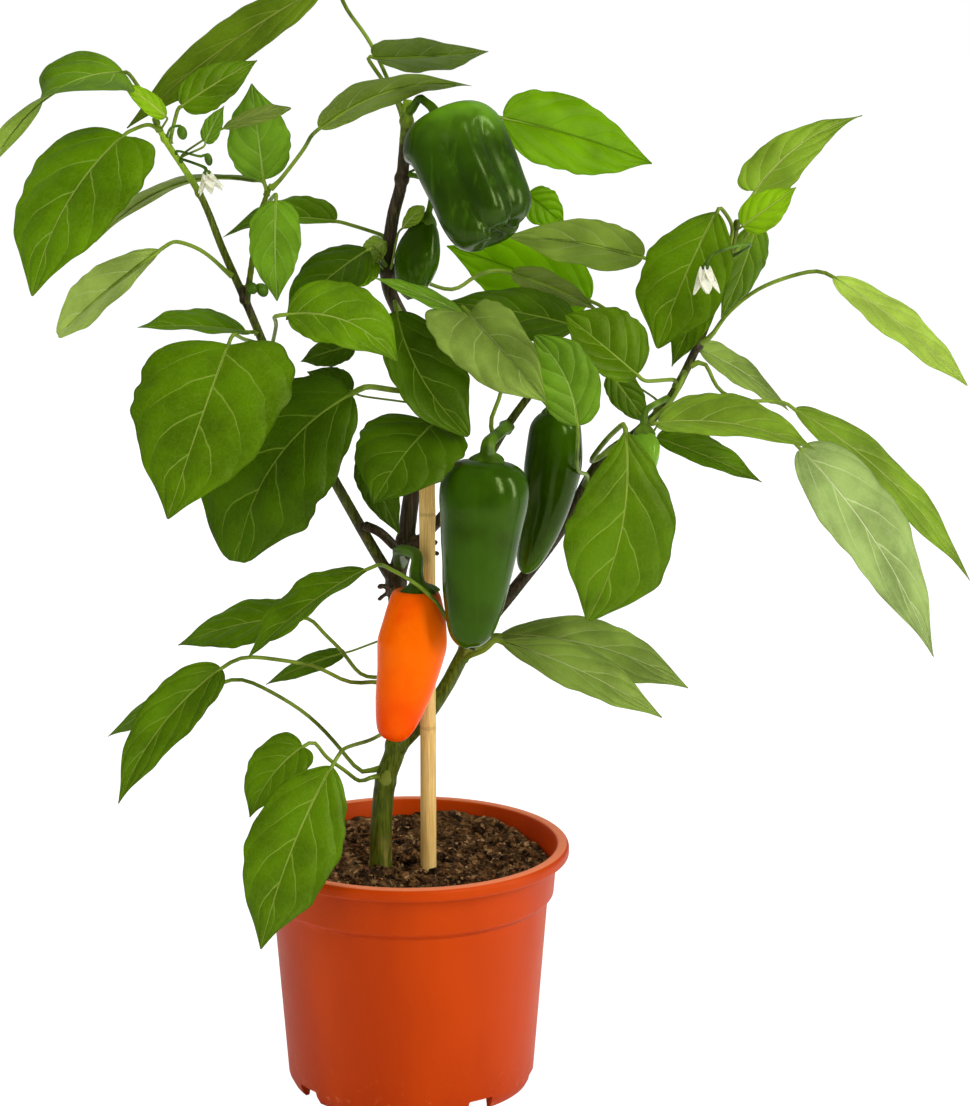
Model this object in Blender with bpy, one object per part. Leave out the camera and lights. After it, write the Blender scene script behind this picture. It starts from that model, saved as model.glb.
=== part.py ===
"""A potted sweet pepper plant, in metres, +Z up, origin on the middle of the pot's base.

A turned plastic nursery pot holds soil, a bamboo cane and one branched stem. Every leaf (blade and
leaf stalk grown as one), every fruit and every fruit stalk is its own closed solid beside the stem.
"""

import math
import random

import bmesh
import bpy
from mathutils import Vector

GAP = 0.0003  # clearance between neighbouring solids

# Nursery pot, a tapered shell with a rolled rim
POT_HEIGHT = 0.133
RIM_RADIUS = 0.085
RIM_DEPTH = 0.0066
COLLAR_RADIUS = 0.0775
COLLAR_BOTTOM = 0.105
BODY_TOP_RADIUS = 0.0736
BASE_RADIUS = 0.0662  # at the top of the turned-in foot
FOOT_RADIUS = 0.0638
FOOT_HEIGHT = 0.0060
FOOT_WIDTH = 0.0040  # of the ring that the pot stands on
FOOT_EDGE = 0.0008  # chamfer of that ring
FLOOR_UNDER = 0.0076  # of the raised channel that the notches drain
FLOOR_OVER = 0.0098
PAD_RADIUS = 0.0440  # of the flat middle that the pot stands on
PAD_SLOPE = 0.0024
PAD_FLOOR = 0.0022
PAD_INSIDE = 0.0009  # how far the slope's top is out from the pad's edge, inside
STEP = 0.002  # height of the sloping steps above and below the collar
FLUSH = 0.001  # taper of the collar over its height
WALL = 0.0020
INNER_STEP = COLLAR_BOTTOM - 0.004  # where the wall leaves the body for the collar, inside
POT_SEGMENTS = 40
NOTCHES = 8
NOTCH_WIDTH = 0.015
NOTCH_HEIGHT = 0.0073
NOTCH_DEPTH = 0.012
NOTCH_TURN = 0.78  # share of one spacing by which the ring of notches is turned

# Soil, filled to about 10 mm under the rim
SOIL_TOP = 0.122
SOIL_LUMP = 0.0016
ROOT_END = 0.086  # the modelled trunk stops this high, inside the soil

# Bamboo cane
CANE_PLACE = (0.010, -0.014)
CANE_RADIUS = 0.0043
CANE_BOTTOM = 0.012
CANE_TOP = 0.405
CANE_JOINTS = (0.200, 0.315)
JOINT_SWELL = 1.07
JOINT_HALF = 0.004

# Centre lines of the stem, each a list of points that a smooth curve passes through, with the
# radius at its lower and its upper end
STEM_ROUTES = {
    "main": (
        [
            (-0.0155, -0.010, ROOT_END), (-0.0155, -0.010, 0.121), (-0.0150, -0.008, 0.147),
            (-0.0125, -0.006, 0.170), (-0.007, -0.004, 0.187), (-0.003, 0.005, 0.221),
            (-0.005, 0.010, 0.252), (-0.007, 0.012, 0.272), (-0.002, 0.012, 0.295),
            (0.002, 0.013, 0.322), (0.010, 0.018, 0.350), (0.012, 0.020, 0.372),
            (0.007, 0.020, 0.392), (-0.003, 0.018, 0.412), (-0.011, 0.018, 0.433),
            (-0.008, 0.016, 0.464),
            (-0.003, 0.012, 0.485), (0.000, 0.008, 0.518), (0.001, 0.008, 0.527),
        ],
        0.0060,
        0.0030,
    ),
    "left": (
        [
            (-0.007, 0.012, 0.270), (-0.020, 0.005, 0.294), (-0.036, -0.005, 0.326),
            (-0.056, -0.005, 0.363), (-0.069, 0.000, 0.388), (-0.084, 0.000, 0.425),
            (-0.095, 0.000, 0.451), (-0.106, 0.000, 0.479), (-0.123, -0.002, 0.507),
            (-0.129, -0.002, 0.519),
        ],
        0.0032,
        0.0017,
    ),
    "right": (
        [
            (-0.008, -0.004, 0.184), (0.008, -0.004, 0.202), (0.020, -0.002, 0.220),
            (0.032, 0.002, 0.241), (0.055, 0.010, 0.268), (0.080, 0.015, 0.300),
            (0.100, 0.015, 0.336), (0.121, 0.012, 0.354), (0.138, 0.008, 0.374),
            (0.156, 0.005, 0.414), (0.167, 0.005, 0.450), (0.170, 0.005, 0.466),
        ],
        0.0042,
        0.0018,
    ),
    "middle": (
        [
            (0.000, 0.013, 0.288), (0.017, 0.008, 0.308), (0.035, -0.004, 0.332),
            (0.052, -0.014, 0.362), (0.070, -0.016, 0.386), (0.087, -0.014, 0.400),
        ],
        0.0032,
        0.0018,
    ),
    "shoot": (
        [
            (-0.083, 0.000, 0.424), (-0.080, 0.003, 0.445), (-0.076, 0.006, 0.468),
            (-0.070, 0.008, 0.484),
        ],
        0.0019,
        0.0014,
    ),
}
STEM_SIDES = 8
STEM_STEP = 0.022

# Leaves
STALK_RADIUS = 0.0011
STALK_FOOT = 0.0017  # where a leaf stalk meets the stem
BLADE_THICKNESS = 0.0010
BLADE_RINGS = 7
STALK_RINGS = 5
LEAD = 0.12  # share of a stalk that runs straight out of the stem, and straight into its end
LEAD_LIMIT = 0.4  # the most that this takes of the way to the next place on its route
LEAF_SHAPE = (0.52, 0.95)  # how slender a blade's base and its far end are
FRUIT_SIDES = 18
SMALL_SIDES = 12  # round young fruits, flowers and fruit stalks
NECK = 0.0045  # where a fruit stalk starts to flare into its calyx


def material(name, colour, roughness, metallic=0.0):
    """A plain Principled material, made once for each name."""
    found = bpy.data.materials.get(name)
    if found:
        return found
    made = bpy.data.materials.new(name)
    made.use_nodes = True
    shader = made.node_tree.nodes["Principled BSDF"]
    shader.inputs["Base Color"].default_value = (*colour, 1.0)
    shader.inputs["Roughness"].default_value = roughness
    shader.inputs["Metallic"].default_value = metallic
    made.diffuse_color = (*colour, 1.0)
    return made


def add_object(name, bm, finish, smooth=True):
    """Turns a bmesh into a named object with outward faces."""
    bmesh.ops.recalc_face_normals(bm, faces=bm.faces)
    mesh = bpy.data.meshes.new(name)
    bm.to_mesh(mesh)
    bm.free()
    if smooth:
        mesh.shade_smooth()
        mesh.set_sharp_from_angle(angle=math.radians(40))
    mesh.materials.append(finish)
    made = bpy.data.objects.new(name, mesh)
    bpy.context.scene.collection.objects.link(made)
    return made


def make_guide(obj):
    """Keeps an operand of a Boolean out of the model."""
    obj.hide_render = True
    obj.display_type = "WIRE"
    return obj


def boolean(obj, operand, operation):
    step = obj.modifiers.new(operation.title(), "BOOLEAN")
    step.operation = operation
    step.object = operand
    step.solver = "EXACT"


def loft(rings):
    """Joins rings of equally many points by quads and closes both ends."""
    bm = bmesh.new()
    rows = [[bm.verts.new(point) for point in ring] for ring in rings]
    count = len(rows[0])
    for lower, upper in zip(rows, rows[1:]):
        for i in range(count):
            j = (i + 1) % count
            bm.faces.new((lower[i], lower[j], upper[j], upper[i]))
    bm.faces.new(reversed(rows[0]))
    bm.faces.new(rows[-1])
    return bm


def turned(profile, segments):
    """A closed solid turned about Z from an outline of (radius, height) points."""
    bm = bmesh.new()
    corners = [bm.verts.new((radius, 0.0, height)) for radius, height in profile]
    edges = [bm.edges.new((a, b)) for a, b in zip(corners, corners[1:] + corners[:1])]
    bmesh.ops.spin(
        bm,
        geom=corners + edges,
        cent=(0, 0, 0),
        axis=(0, 0, 1),
        angle=math.tau,
        steps=segments,
        use_merge=True,
    )
    return bm


def catmull_rom(a, b, c, d, t):
    return 0.5 * (
        2 * b
        + (c - a) * t
        + (2 * a - 5 * b + 4 * c - d) * t * t
        + (3 * b - a - 3 * c + d) * t * t * t
    )


def smooth_route(points, step):
    """Evenly dense points on a smooth curve through the given ones."""
    points = [Vector(point) for point in points]
    ends = [2 * points[0] - points[1], *points, 2 * points[-1] - points[-2]]
    route = []
    for i in range(len(points) - 1):
        parts = max(1, round((points[i + 1] - points[i]).length / step))
        for k in range(parts):
            route.append(catmull_rom(*ends[i : i + 4], k / parts))
    return route + [points[-1]]


def directions(route):
    """Unit tangents along a route."""
    last = len(route) - 1
    return [
        (route[min(i + 1, last)] - route[max(i - 1, 0)]).normalized()
        for i in range(len(route))
    ]


def carried_frames(tangents, across):
    """The across direction carried along a route without twist, with its partner at each point."""
    frames = []
    for tangent in tangents:
        across = (across - across.dot(tangent) * tangent).normalized()
        frames.append((across, across.cross(tangent)))
    return frames


def circle_ring(centre, across, up, radius, sides):
    turns = [math.tau * i / sides for i in range(sides)]
    return [
        centre + radius * (math.cos(a) * across + math.sin(a) * up) for a in turns
    ]


def tube(route, radii, sides):
    frames = carried_frames(directions(route), Vector((1.0, 0.1, 0.05)))
    return loft(
        [
            circle_ring(centre, across, up, radius, sides)
            for centre, (across, up), radius in zip(route, frames, radii)
        ]
    )


def stem_radius(name, share):
    low, high = STEM_ROUTES[name][1:]
    return low + (high - low) * share


def stem_place(name, height):
    """Centre, direction and radius of a stem route at a height."""
    route = smooth_route(STEM_ROUTES[name][0], STEM_STEP)
    for i, (low, high) in enumerate(zip(route, route[1:])):
        if high.z >= height or i == len(route) - 2:
            share = min(1.0, max(0.0, (height - low.z) / (high.z - low.z)))
            radius = stem_radius(name, (i + share) / (len(route) - 1))
            return low.lerp(high, share), (high - low).normalized(), radius


def build_pot(finish):
    """A turned shell with a rim, a collar, a flat middle, a raised channel and notches through its foot."""
    top = POT_HEIGHT
    collar_inside = COLLAR_RADIUS - WALL
    outline = [
        (0.0, 0.0),
        (PAD_RADIUS, 0.0),
        (PAD_RADIUS + PAD_SLOPE, FLOOR_UNDER),
        (FOOT_RADIUS - FOOT_WIDTH, FLOOR_UNDER),
        (FOOT_RADIUS - FOOT_WIDTH + FOOT_EDGE, 0.0),
        (FOOT_RADIUS - FOOT_EDGE, 0.0),
        (FOOT_RADIUS, FOOT_EDGE),
        (BASE_RADIUS, FOOT_HEIGHT),
        (BODY_TOP_RADIUS, COLLAR_BOTTOM - STEP),
        (COLLAR_RADIUS - FLUSH, COLLAR_BOTTOM),
        (COLLAR_RADIUS, COLLAR_BOTTOM + STEP),
        (COLLAR_RADIUS + 1.5 * FLUSH, top - RIM_DEPTH),
        (RIM_RADIUS - 0.0012, top - RIM_DEPTH - 0.0006),
        (RIM_RADIUS, top - RIM_DEPTH + 0.001),
        (RIM_RADIUS, top - 0.0018),
        (RIM_RADIUS - 0.0018, top),
        (RIM_RADIUS - 0.0045, top),
        (RIM_RADIUS - 0.0065, top - 0.0015),
        (collar_inside, top - RIM_DEPTH - STEP),
        (collar_inside - FLUSH, COLLAR_BOTTOM),
        (BODY_TOP_RADIUS - WALL, INNER_STEP),
        (BASE_RADIUS - WALL, FLOOR_OVER),
        (PAD_RADIUS + PAD_INSIDE, FLOOR_OVER),
        (PAD_RADIUS + PAD_INSIDE - PAD_SLOPE, PAD_FLOOR),
        (0.0, PAD_FLOOR),
    ]
    pot = add_object("pot", turned(outline, POT_SEGMENTS), finish)
    for i in range(NOTCHES):
        angle = math.tau * (i + NOTCH_TURN) / NOTCHES - math.pi / 2
        bm = bmesh.new()
        bmesh.ops.create_cube(bm, size=1.0)
        bmesh.ops.scale(
            bm, vec=(2 * NOTCH_DEPTH, NOTCH_WIDTH, 2 * NOTCH_HEIGHT), verts=bm.verts
        )
        cutter = make_guide(add_object(f"notch_cutter_{i + 1}", bm, finish, smooth=False))
        cutter.location = (BASE_RADIUS * math.cos(angle), BASE_RADIUS * math.sin(angle), 0.0)
        cutter.rotation_euler = (0.0, 0.0, angle)
        boolean(pot, cutter, "DIFFERENCE")
    return pot


def level_ring(radius, height, sides):
    return circle_ring(
        Vector((0, 0, height)), Vector((1, 0, 0)), Vector((0, 1, 0)), radius, sides
    )


def hole_for(name, route, radius, finish):
    """A round cutter that clears whatever stands in the soil."""
    hole = tube(route, [radius + 2 * GAP] * len(route), 16)
    return make_guide(add_object(name, hole, finish))


def build_soil(finish):
    """The filling: it follows the pot's wall with a gap, and its top is a little lumpy."""
    rng = random.Random(4)
    sides = 24
    collar = COLLAR_RADIUS - WALL - FLUSH
    outline = (
        (PAD_RADIUS + PAD_INSIDE - PAD_SLOPE, PAD_FLOOR + GAP),
        (PAD_RADIUS + PAD_INSIDE, FLOOR_OVER + GAP),
        (BASE_RADIUS - WALL, FLOOR_OVER + GAP),
        (BODY_TOP_RADIUS - WALL, INNER_STEP),
        (collar, COLLAR_BOTTOM + 2 * GAP),
        (collar, SOIL_TOP - 0.002),
    )
    rings = [level_ring(radius - 2 * GAP, height, sides) for radius, height in outline]
    for radius in (0.066, 0.052, 0.038, 0.024, 0.010):
        ring = level_ring(radius, SOIL_TOP, sides)
        rings.append([p + Vector((0, 0, rng.uniform(-SOIL_LUMP, SOIL_LUMP))) for p in ring])
    soil = add_object("soil", loft(rings), finish)
    points, trunk_radius = STEM_ROUTES["main"][:2]
    trunk = smooth_route(points[:3], STEM_STEP)
    trunk[0] = trunk[0] - Vector((0, 0, 2 * GAP))
    boolean(soil, hole_for("trunk_hole", trunk, trunk_radius, finish), "DIFFERENCE")
    x, y = CANE_PLACE
    cane = [Vector((x, y, CANE_BOTTOM - 2 * GAP)), Vector((x, y, POT_HEIGHT))]
    boolean(soil, hole_for("cane_hole", cane, CANE_RADIUS, finish), "DIFFERENCE")
    return soil


def build_cane(finish):
    """A bamboo cane with a slight swelling at each joint."""
    x, y = CANE_PLACE
    heights = [CANE_BOTTOM]
    for joint in CANE_JOINTS:
        heights += [joint - JOINT_HALF, joint, joint + JOINT_HALF]
    heights.append(CANE_TOP)
    route = [Vector((x, y, height)) for height in heights]
    radii = [
        CANE_RADIUS * (JOINT_SWELL if height in CANE_JOINTS else 1.0) for height in heights
    ]
    return add_object("cane", tube(route, radii, 12), finish)


def build_stem(finish):
    """The forked stem: a tapered tube for each route, united into one solid."""
    parts = {}
    for name in STEM_ROUTES:
        route = smooth_route(STEM_ROUTES[name][0], STEM_STEP)
        last = len(route) - 1
        radii = [stem_radius(name, i / last) for i in range(last + 1)]
        part_name = "stem" if name == "main" else f"{name}_branch"
        parts[name] = add_object(part_name, tube(route, radii, STEM_SIDES), finish)
    for name in ("right", "left", "middle"):
        boolean(parts["main"], make_guide(parts[name]), "UNION")
    boolean(parts["main"], make_guide(parts["shoot"]), "UNION")
    return parts["main"]


def stalk_route(foot, away, vias, end, end_direction, count):
    """A smooth stalk from the stem to its end, straight out of the one and into the other."""
    vias = [Vector(via) for via in vias]
    whole = (end - foot).length
    start = min(whole * LEAD, ((vias or [end])[0] - foot).length * LEAD_LIMIT)
    finish = min(whole * LEAD, (end - (vias or [foot])[-1]).length * LEAD_LIMIT)
    knots = [foot, foot + away * start, *vias, end - end_direction * finish, end]
    fine = smooth_route(knots, whole / 40)
    lengths = [0.0]
    for a, b in zip(fine, fine[1:]):
        lengths.append(lengths[-1] + (b - a).length)
    route = []
    for k in range(count + 1):
        target = lengths[-1] * k / count
        i = max(j for j, length in enumerate(lengths[:-1]) if length <= target)
        share = (target - lengths[i]) / (lengths[i + 1] - lengths[i])
        route.append(fine[i].lerp(fine[i + 1], min(1.0, share)))
    return route


def leave_stem(branch, height, toward, lift):
    """The foot of a stalk beside the stem, the way out of the stem there, and the first direction."""
    centre, along, radius = stem_place(branch, height)
    out = toward - centre
    out = (out - out.dot(along) * along).normalized()
    foot = centre + out * (radius + GAP)
    return foot, out, (out + lift * along).normalized()


def blade_width(share, shape):
    """Half width of a leaf blade along its midrib, at most 1."""
    round_end, pointed_end = shape
    peak = round_end / (round_end + pointed_end)
    most = peak**round_end * (1 - peak) ** pointed_end
    return share**round_end * (1 - share) ** pointed_end / most


def build_leaf(
    name, branch, height, base, tip, width, facing, finish,
    bow=0.10, sway=0.0, twist=0.0, shape=LEAF_SHAPE, fold=(0.25, 0.25), cup=0.22, vias=(), lift=1.2,
):
    """One leaf: a round stalk that widens into a folded, arched blade.

    base and tip are the ends of the blade, facing is the way its upper side looks, bow is how far
    the midrib arches that way and sway how far it curves sideways, as shares of its length. twist
    turns the tip, and fold is the angle that the left and the right half are raised by.
    """
    base, tip, facing = Vector(base), Vector(tip), Vector(facing).normalized()
    chord = tip - base
    across = chord.cross(facing).normalized()
    upward = across.cross(chord).normalized()
    middle = (base + tip) / 2 + (bow * upward + sway * across) * chord.length
    shares = [(i / BLADE_RINGS) ** 1.15 for i in range(BLADE_RINGS + 1)]
    shares[0], shares[-1] = 0.0, 0.985
    midrib = [
        (1 - s) ** 2 * base + 2 * s * (1 - s) * middle + s * s * tip for s in shares
    ]
    blade_start = (middle - base).normalized()
    first = vias[0] if vias else base
    foot, out, away = leave_stem(branch, height, Vector(first), lift)
    stalk = stalk_route(foot, away, vias, base, blade_start, STALK_RINGS)

    rings = []
    tangents = directions(stalk[:-1] + midrib)
    tangents[0] = out
    backwards = carried_frames(tangents[STALK_RINGS::-1], across)[::-1]
    for i in range(STALK_RINGS):
        side, up = backwards[i]
        radius = STALK_FOOT if i == 0 else STALK_RADIUS
        rings.append(leaf_ring(stalk[i], side, up, radius, radius))
    side, up = backwards[STALK_RINGS]
    rings.append(leaf_ring(midrib[0], side, up, STALK_RADIUS, STALK_RADIUS * 0.8))
    for i, share in enumerate(shares[1:], 1):
        tangent = tangents[STALK_RINGS + i]
        side = tangent.cross(facing).normalized()
        up = side.cross(tangent)
        turn = twist * share
        side, up = (math.cos(turn) * side + math.sin(turn) * up,
                    math.cos(turn) * up - math.sin(turn) * side)
        half = max(0.0004, width / 2 * blade_width(share, shape))
        thick = BLADE_THICKNESS / 2 * (1.25 - 0.6 * share)
        rings.append(leaf_ring(midrib[i], side, up, half, thick, fold, cup))
    return add_object(name, loft(rings), finish)


def leaf_ring(centre, side, up, half, thick, fold=None, cup=0.0):
    """Eight points round a leaf's section: two edges and three points on each face of a blade."""
    if fold is None:
        return [
            centre + half * math.cos(a) * side + thick * math.sin(a) * up
            for a in (math.pi - math.tau * i / 8 for i in range(8))
        ]

    def point(across, lift):
        raised = fold[1] if across > 0 else fold[0]
        out = half * across * math.cos(raised)
        rise = half * (math.sin(raised) * abs(across) - cup * across * across)
        return centre + side * out + up * (rise + lift)

    return [
        point(-1.0, 0.0), point(-0.55, 0.75 * thick), point(0.0, thick), point(0.55, 0.75 * thick),
        point(1.0, 0.0), point(0.55, -0.75 * thick), point(0.0, -thick), point(-0.55, -0.75 * thick),
    ]


def lobed_ring(centre, across, up, radius, lobes, depth, sides, turn=0.0):
    """A ring whose outline swells into lobes with grooves between them."""
    ring = []
    for i in range(sides):
        angle = math.tau * i / sides
        groove = depth * (1.0 - abs(math.cos(lobes * (angle + turn) / 2))) if lobes else 0.0
        reach = radius * (1.0 - groove)
        ring.append(centre + reach * (math.cos(angle) * across + math.sin(angle) * up))
    return ring


def fruit_axis(top, tip, bend, shares):
    top, tip = Vector(top), Vector(tip)
    middle = (top + tip) / 2 + Vector(bend)
    return [(1 - s) ** 2 * top + 2 * s * (1 - s) * middle + s * s * tip for s in shares]


def build_fruit(name, top, tip, outline, finish, bend=(0, 0, 0), lobes=0, depth=0.0, turn=0.0):
    """A hanging fruit: rings of an outline of (share of length, radius) along a bent axis."""
    centres = fruit_axis(top, tip, bend, [share for share, _ in outline])
    frames = carried_frames(directions(centres), Vector((1.0, 0.2, 0.0)))
    rings = [
        lobed_ring(centre, across, up, radius, lobes, depth * (0.35 + share), FRUIT_SIDES, turn)
        for centre, (across, up), (share, radius) in zip(centres, frames, outline)
    ]
    return add_object(name, loft(rings), finish)


def fruit_stalk_rings(branch, height, vias, top, into, calyx_radius, thickness):
    """Rings of a stalk from the stem that flares into the calyx on top of a fruit."""
    end = Vector(top) - into * GAP
    neck = end - into * NECK
    first = vias[0] if vias else neck
    foot, out, away = leave_stem(branch, height, Vector(first), 0.3)
    route = stalk_route(foot, away, vias, neck, into, 5)
    tangents = directions(route)
    tangents[0], tangents[-1] = out, into
    frames = carried_frames(tangents[::-1], Vector((1.0, 0.2, 0.0)))[::-1]
    radii = [thickness * share for share in (1.15, 0.9, 0.85, 0.9, 1.0, 1.15)]
    rings = [
        circle_ring(centre, across, up, radius, SMALL_SIDES)
        for centre, (across, up), radius in zip(route, frames, radii)
    ]
    across, up = frames[-1]
    for back, share in ((0.0022, 0.75), (0.0007, 1.0), (0.0, 0.97)):
        centre = end - into * back
        rings.append(circle_ring(centre, across, up, share * calyx_radius, SMALL_SIDES))
    return rings, across


def build_fruit_stalk(
    name, branch, height, top, tip, finish,
    bend=(0, 0, 0), vias=(), calyx_radius=0.009, thickness=0.0028,
):
    """The stalk a fruit hangs from, with the calyx that caps the fruit."""
    axis = fruit_axis(top, tip, bend, [0.0, 0.08])
    into = (axis[1] - axis[0]).normalized()
    rings, _ = fruit_stalk_rings(branch, height, vias, top, into, calyx_radius, thickness)
    return add_object(name, loft(rings), finish)


def build_young_fruit(name, branch, height, top, tip, outline, finish, vias=(), calyx_radius=0.006):
    """A small green fruit that is still one piece with its calyx and stalk."""
    shares = [share for share, _ in outline]
    centres = fruit_axis(top, tip, (0, 0, 0), shares)
    into = (Vector(tip) - Vector(top)).normalized()
    rings, across = fruit_stalk_rings(branch, height, vias, top, into, calyx_radius, 0.0018)
    up = across.cross(into)
    for centre, (_, radius) in zip(centres, outline):
        rings.append(circle_ring(centre, across, up, radius, SMALL_SIDES))
    return add_object(name, loft(rings), finish)


def build_flower(name, branch, height, centre, tip, reach, finish, vias=()):
    """A small nodding flower: a thin stalk, a calyx and a ring of petals."""
    centre, tip = Vector(centre), Vector(tip)
    into = (tip - centre).normalized()
    foot, out, away = leave_stem(branch, height, Vector((vias or [centre])[0]), 0.8)
    route = stalk_route(foot, away, vias, centre, into, 8)
    tangents = directions(route)
    tangents[0], tangents[-1] = out, into
    frames = carried_frames(tangents[::-1], Vector((1.0, 0.2, 0.0)))[::-1]
    stalk_radii = (0.0011, 0.0009, 0.0008, 0.0008, 0.0007, 0.0007, 0.0007, 0.0008, 0.0018)
    rings = [
        circle_ring(point, across, up, radius, SMALL_SIDES)
        for point, (across, up), radius in zip(route, frames, stalk_radii)
    ]
    across, up = frames[-1]
    outer = ((0.2, 0.25, 0.0), (0.6, 0.75, 0.35), (1.0, 1.0, 0.5))
    inner = ((0.92, 0.9, 0.5), (0.4, 0.3, 0.2))
    for share, radius, depth in outer + inner:
        place = centre.lerp(tip, share)
        rings.append(lobed_ring(place, across, up, reach * radius, 6, depth, SMALL_SIDES))
    return add_object(name, loft(rings), finish)


def build_leaves(green):
    """Every leaf, by the stem that carries it."""

    def leaf(name, branch, height, base, tip, width, facing, **shape):
        build_leaf(name, branch, height, base, tip, width, facing, green, **shape)

    # Left branch and its shoot
    leaf("leaf_left_1", "left", 0.513, (-0.143, -0.012, 0.511), (-0.188, -0.045, 0.433), 0.062,
         (-0.30, -0.85, 0.45), sway=0.13, shape=(0.45, 0.85), fold=(0.25, 0.1),
         vias=[(-0.132, -0.010, 0.516)])
    leaf("leaf_left_2", "left", 0.516, (-0.143, -0.006, 0.542), (-0.208, -0.028, 0.498), 0.05,
         (0.00, -0.85, 0.50), bow=0.72, twist=-2.0, fold=(0.15, 0.15), cup=0.1,
         vias=[(-0.132, -0.008, 0.529)])
    leaf("leaf_left_3", "left", 0.505, (-0.115, 0.004, 0.524), (-0.077, 0.020, 0.546), 0.024,
         (-0.10, -0.90, 0.40), shape=(0.45, 0.95))
    leaf("leaf_left_4", "left", 0.438, (-0.125, -0.024, 0.454), (-0.175, -0.050, 0.414), 0.036,
         (-0.35, 0.85, 0.40), bow=0.08, shape=(0.75, 0.42), fold=(0.1, 0.65),
         vias=[(-0.097, -0.004, 0.444), (-0.106, -0.008, 0.452), (-0.117, -0.014, 0.457)])
    leaf("leaf_left_5", "left", 0.408, (-0.083, -0.006, 0.409), (-0.137, -0.030, 0.415), 0.038,
         (0.05, -0.25, 0.97), bow=0.06, fold=(0.45, 0.4))
    leaf("leaf_left_6", "left", 0.398, (-0.089, -0.050, 0.410), (-0.118, -0.090, 0.328), 0.08,
         (-0.15, -0.85, 0.42), sway=-0.02, shape=(0.36, 0.85), fold=(0.25, 0.1),
         vias=[(-0.083, -0.034, 0.410)])
    leaf("leaf_left_7", "left", 0.392, (-0.059, -0.050, 0.425), (-0.004, -0.062, 0.403), 0.042,
         (0.10, -0.85, 0.50), sway=-0.26, shape=(0.5, 0.8), fold=(0.15, 0.6),
         vias=[(-0.066, -0.032, 0.417)])
    leaf("leaf_shoot_1", "shoot", 0.48, (-0.074, 0.008, 0.486), (-0.079, 0.002, 0.536), 0.033,
         (0.10, -0.97, -0.05), bow=0.06, shape=(0.55, 0.9))
    leaf("leaf_shoot_2", "shoot", 0.469, (-0.066, -0.022, 0.479), (-0.065, -0.040, 0.430), 0.028,
         (-0.20, -0.90, 0.35), shape=(0.5, 0.85))
    leaf("leaf_shoot_3", "shoot", 0.478, (-0.078, 0.030, 0.483), (-0.169, 0.074, 0.444), 0.032,
         (-0.35, 0.32, 0.90), bow=0.26)
    leaf("leaf_shoot_4", "shoot", 0.482, (-0.044, -0.008, 0.514), (0.034, -0.027, 0.537), 0.038,
         (0.05, 0.40, 0.90), bow=0.24, vias=[(-0.053, 0.002, 0.502)])

    # Main stem, from the top down
    leaf("leaf_main_1", "main", 0.516, (-0.046, 0.064, 0.580), (-0.148, 0.046, 0.508), 0.028,
         (-0.35, -0.85, 0.40), sway=0.02, shape=(0.6, 0.9),
         vias=[(-0.019, 0.030, 0.554), (-0.033, 0.050, 0.571)])
    leaf("leaf_main_2", "main", 0.521, (-0.017, 0.014, 0.548), (0.042, -0.010, 0.553), 0.037,
         (0.05, 0.55, 0.82), bow=-0.02)
    leaf("leaf_main_3", "main", 0.508, (0.049, 0.044, 0.514), (0.130, 0.088, 0.485), 0.044,
         (0.05, -0.90, 0.45), shape=(0.5, 0.95), vias=[(0.020, 0.034, 0.519)])
    leaf("leaf_main_4", "main", 0.452, (-0.038, 0.034, 0.461), (-0.100, 0.066, 0.448), 0.03,
         (-0.10, -0.75, 0.65), bow=0.14, fold=(0.9, 0.15), sway=0.08)
    leaf("leaf_main_5", "main", 0.44, (-0.020, -0.002, 0.451), (-0.062, -0.018, 0.417), 0.038,
         (-0.30, -0.65, 0.70), bow=0.1, shape=(0.65, 0.85))
    leaf("leaf_main_6", "main", 0.392, (-0.005, -0.028, 0.423), (0.032, -0.058, 0.364), 0.044,
         (-0.10, -0.97, 0.10), fold=(0.12, 1.0), sway=0.14, shape=(0.6, 0.62))
    leaf("leaf_main_7", "main", 0.401, (0.029, -0.030, 0.422), (-0.017, -0.044, 0.443), 0.018,
         (0.20, -0.40, 0.90), bow=0.05, vias=[(0.014, -0.002, 0.409)])
    leaf("leaf_main_8", "main", 0.428, (0.054, 0.046, 0.432), (0.100, 0.038, 0.413), 0.022,
         (0.25, 0.75, 0.60), bow=0.1, vias=[(0.022, 0.030, 0.425), (0.034, 0.040, 0.431)])
    leaf("leaf_main_9", "main", 0.372, (-0.028, -0.030, 0.381), (-0.087, -0.046, 0.296), 0.07,
         (-0.25, -0.85, 0.45), sway=0.22, shape=(0.5, 0.42),
         vias=[(-0.001, -0.006, 0.378), (-0.015, -0.018, 0.382)])
    leaf("leaf_main_10", "main", 0.352, (0.014, -0.044, 0.368), (-0.016, -0.070, 0.332), 0.056,
         (-0.10, -0.85, 0.50), sway=0.06, shape=(0.45, 0.8), fold=(0.4, 0.0),
         vias=[(0.002, -0.024, 0.364)])
    leaf("leaf_main_11", "right", 0.238, (-0.021, -0.040, 0.291), (-0.081, -0.058, 0.249), 0.031,
         (-0.35, -0.75, 0.55), bow=0.16, shape=(0.7, 0.8), fold=(0.9, 0.2),
         vias=[(0.025, -0.038, 0.256), (0.018, -0.047, 0.272), (0.012, -0.055, 0.281), (0.003, -0.060, 0.290), (-0.009, -0.054, 0.295)])
    leaf("leaf_main_12", "main", 0.216, (-0.058, 0.016, 0.252), (-0.125, 0.030, 0.233), 0.032,
         (-0.10, -0.60, 0.80), bow=0.14,
         vias=[(-0.025, 0.006, 0.222), (-0.036, 0.011, 0.235), (-0.047, 0.014, 0.245)])
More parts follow.
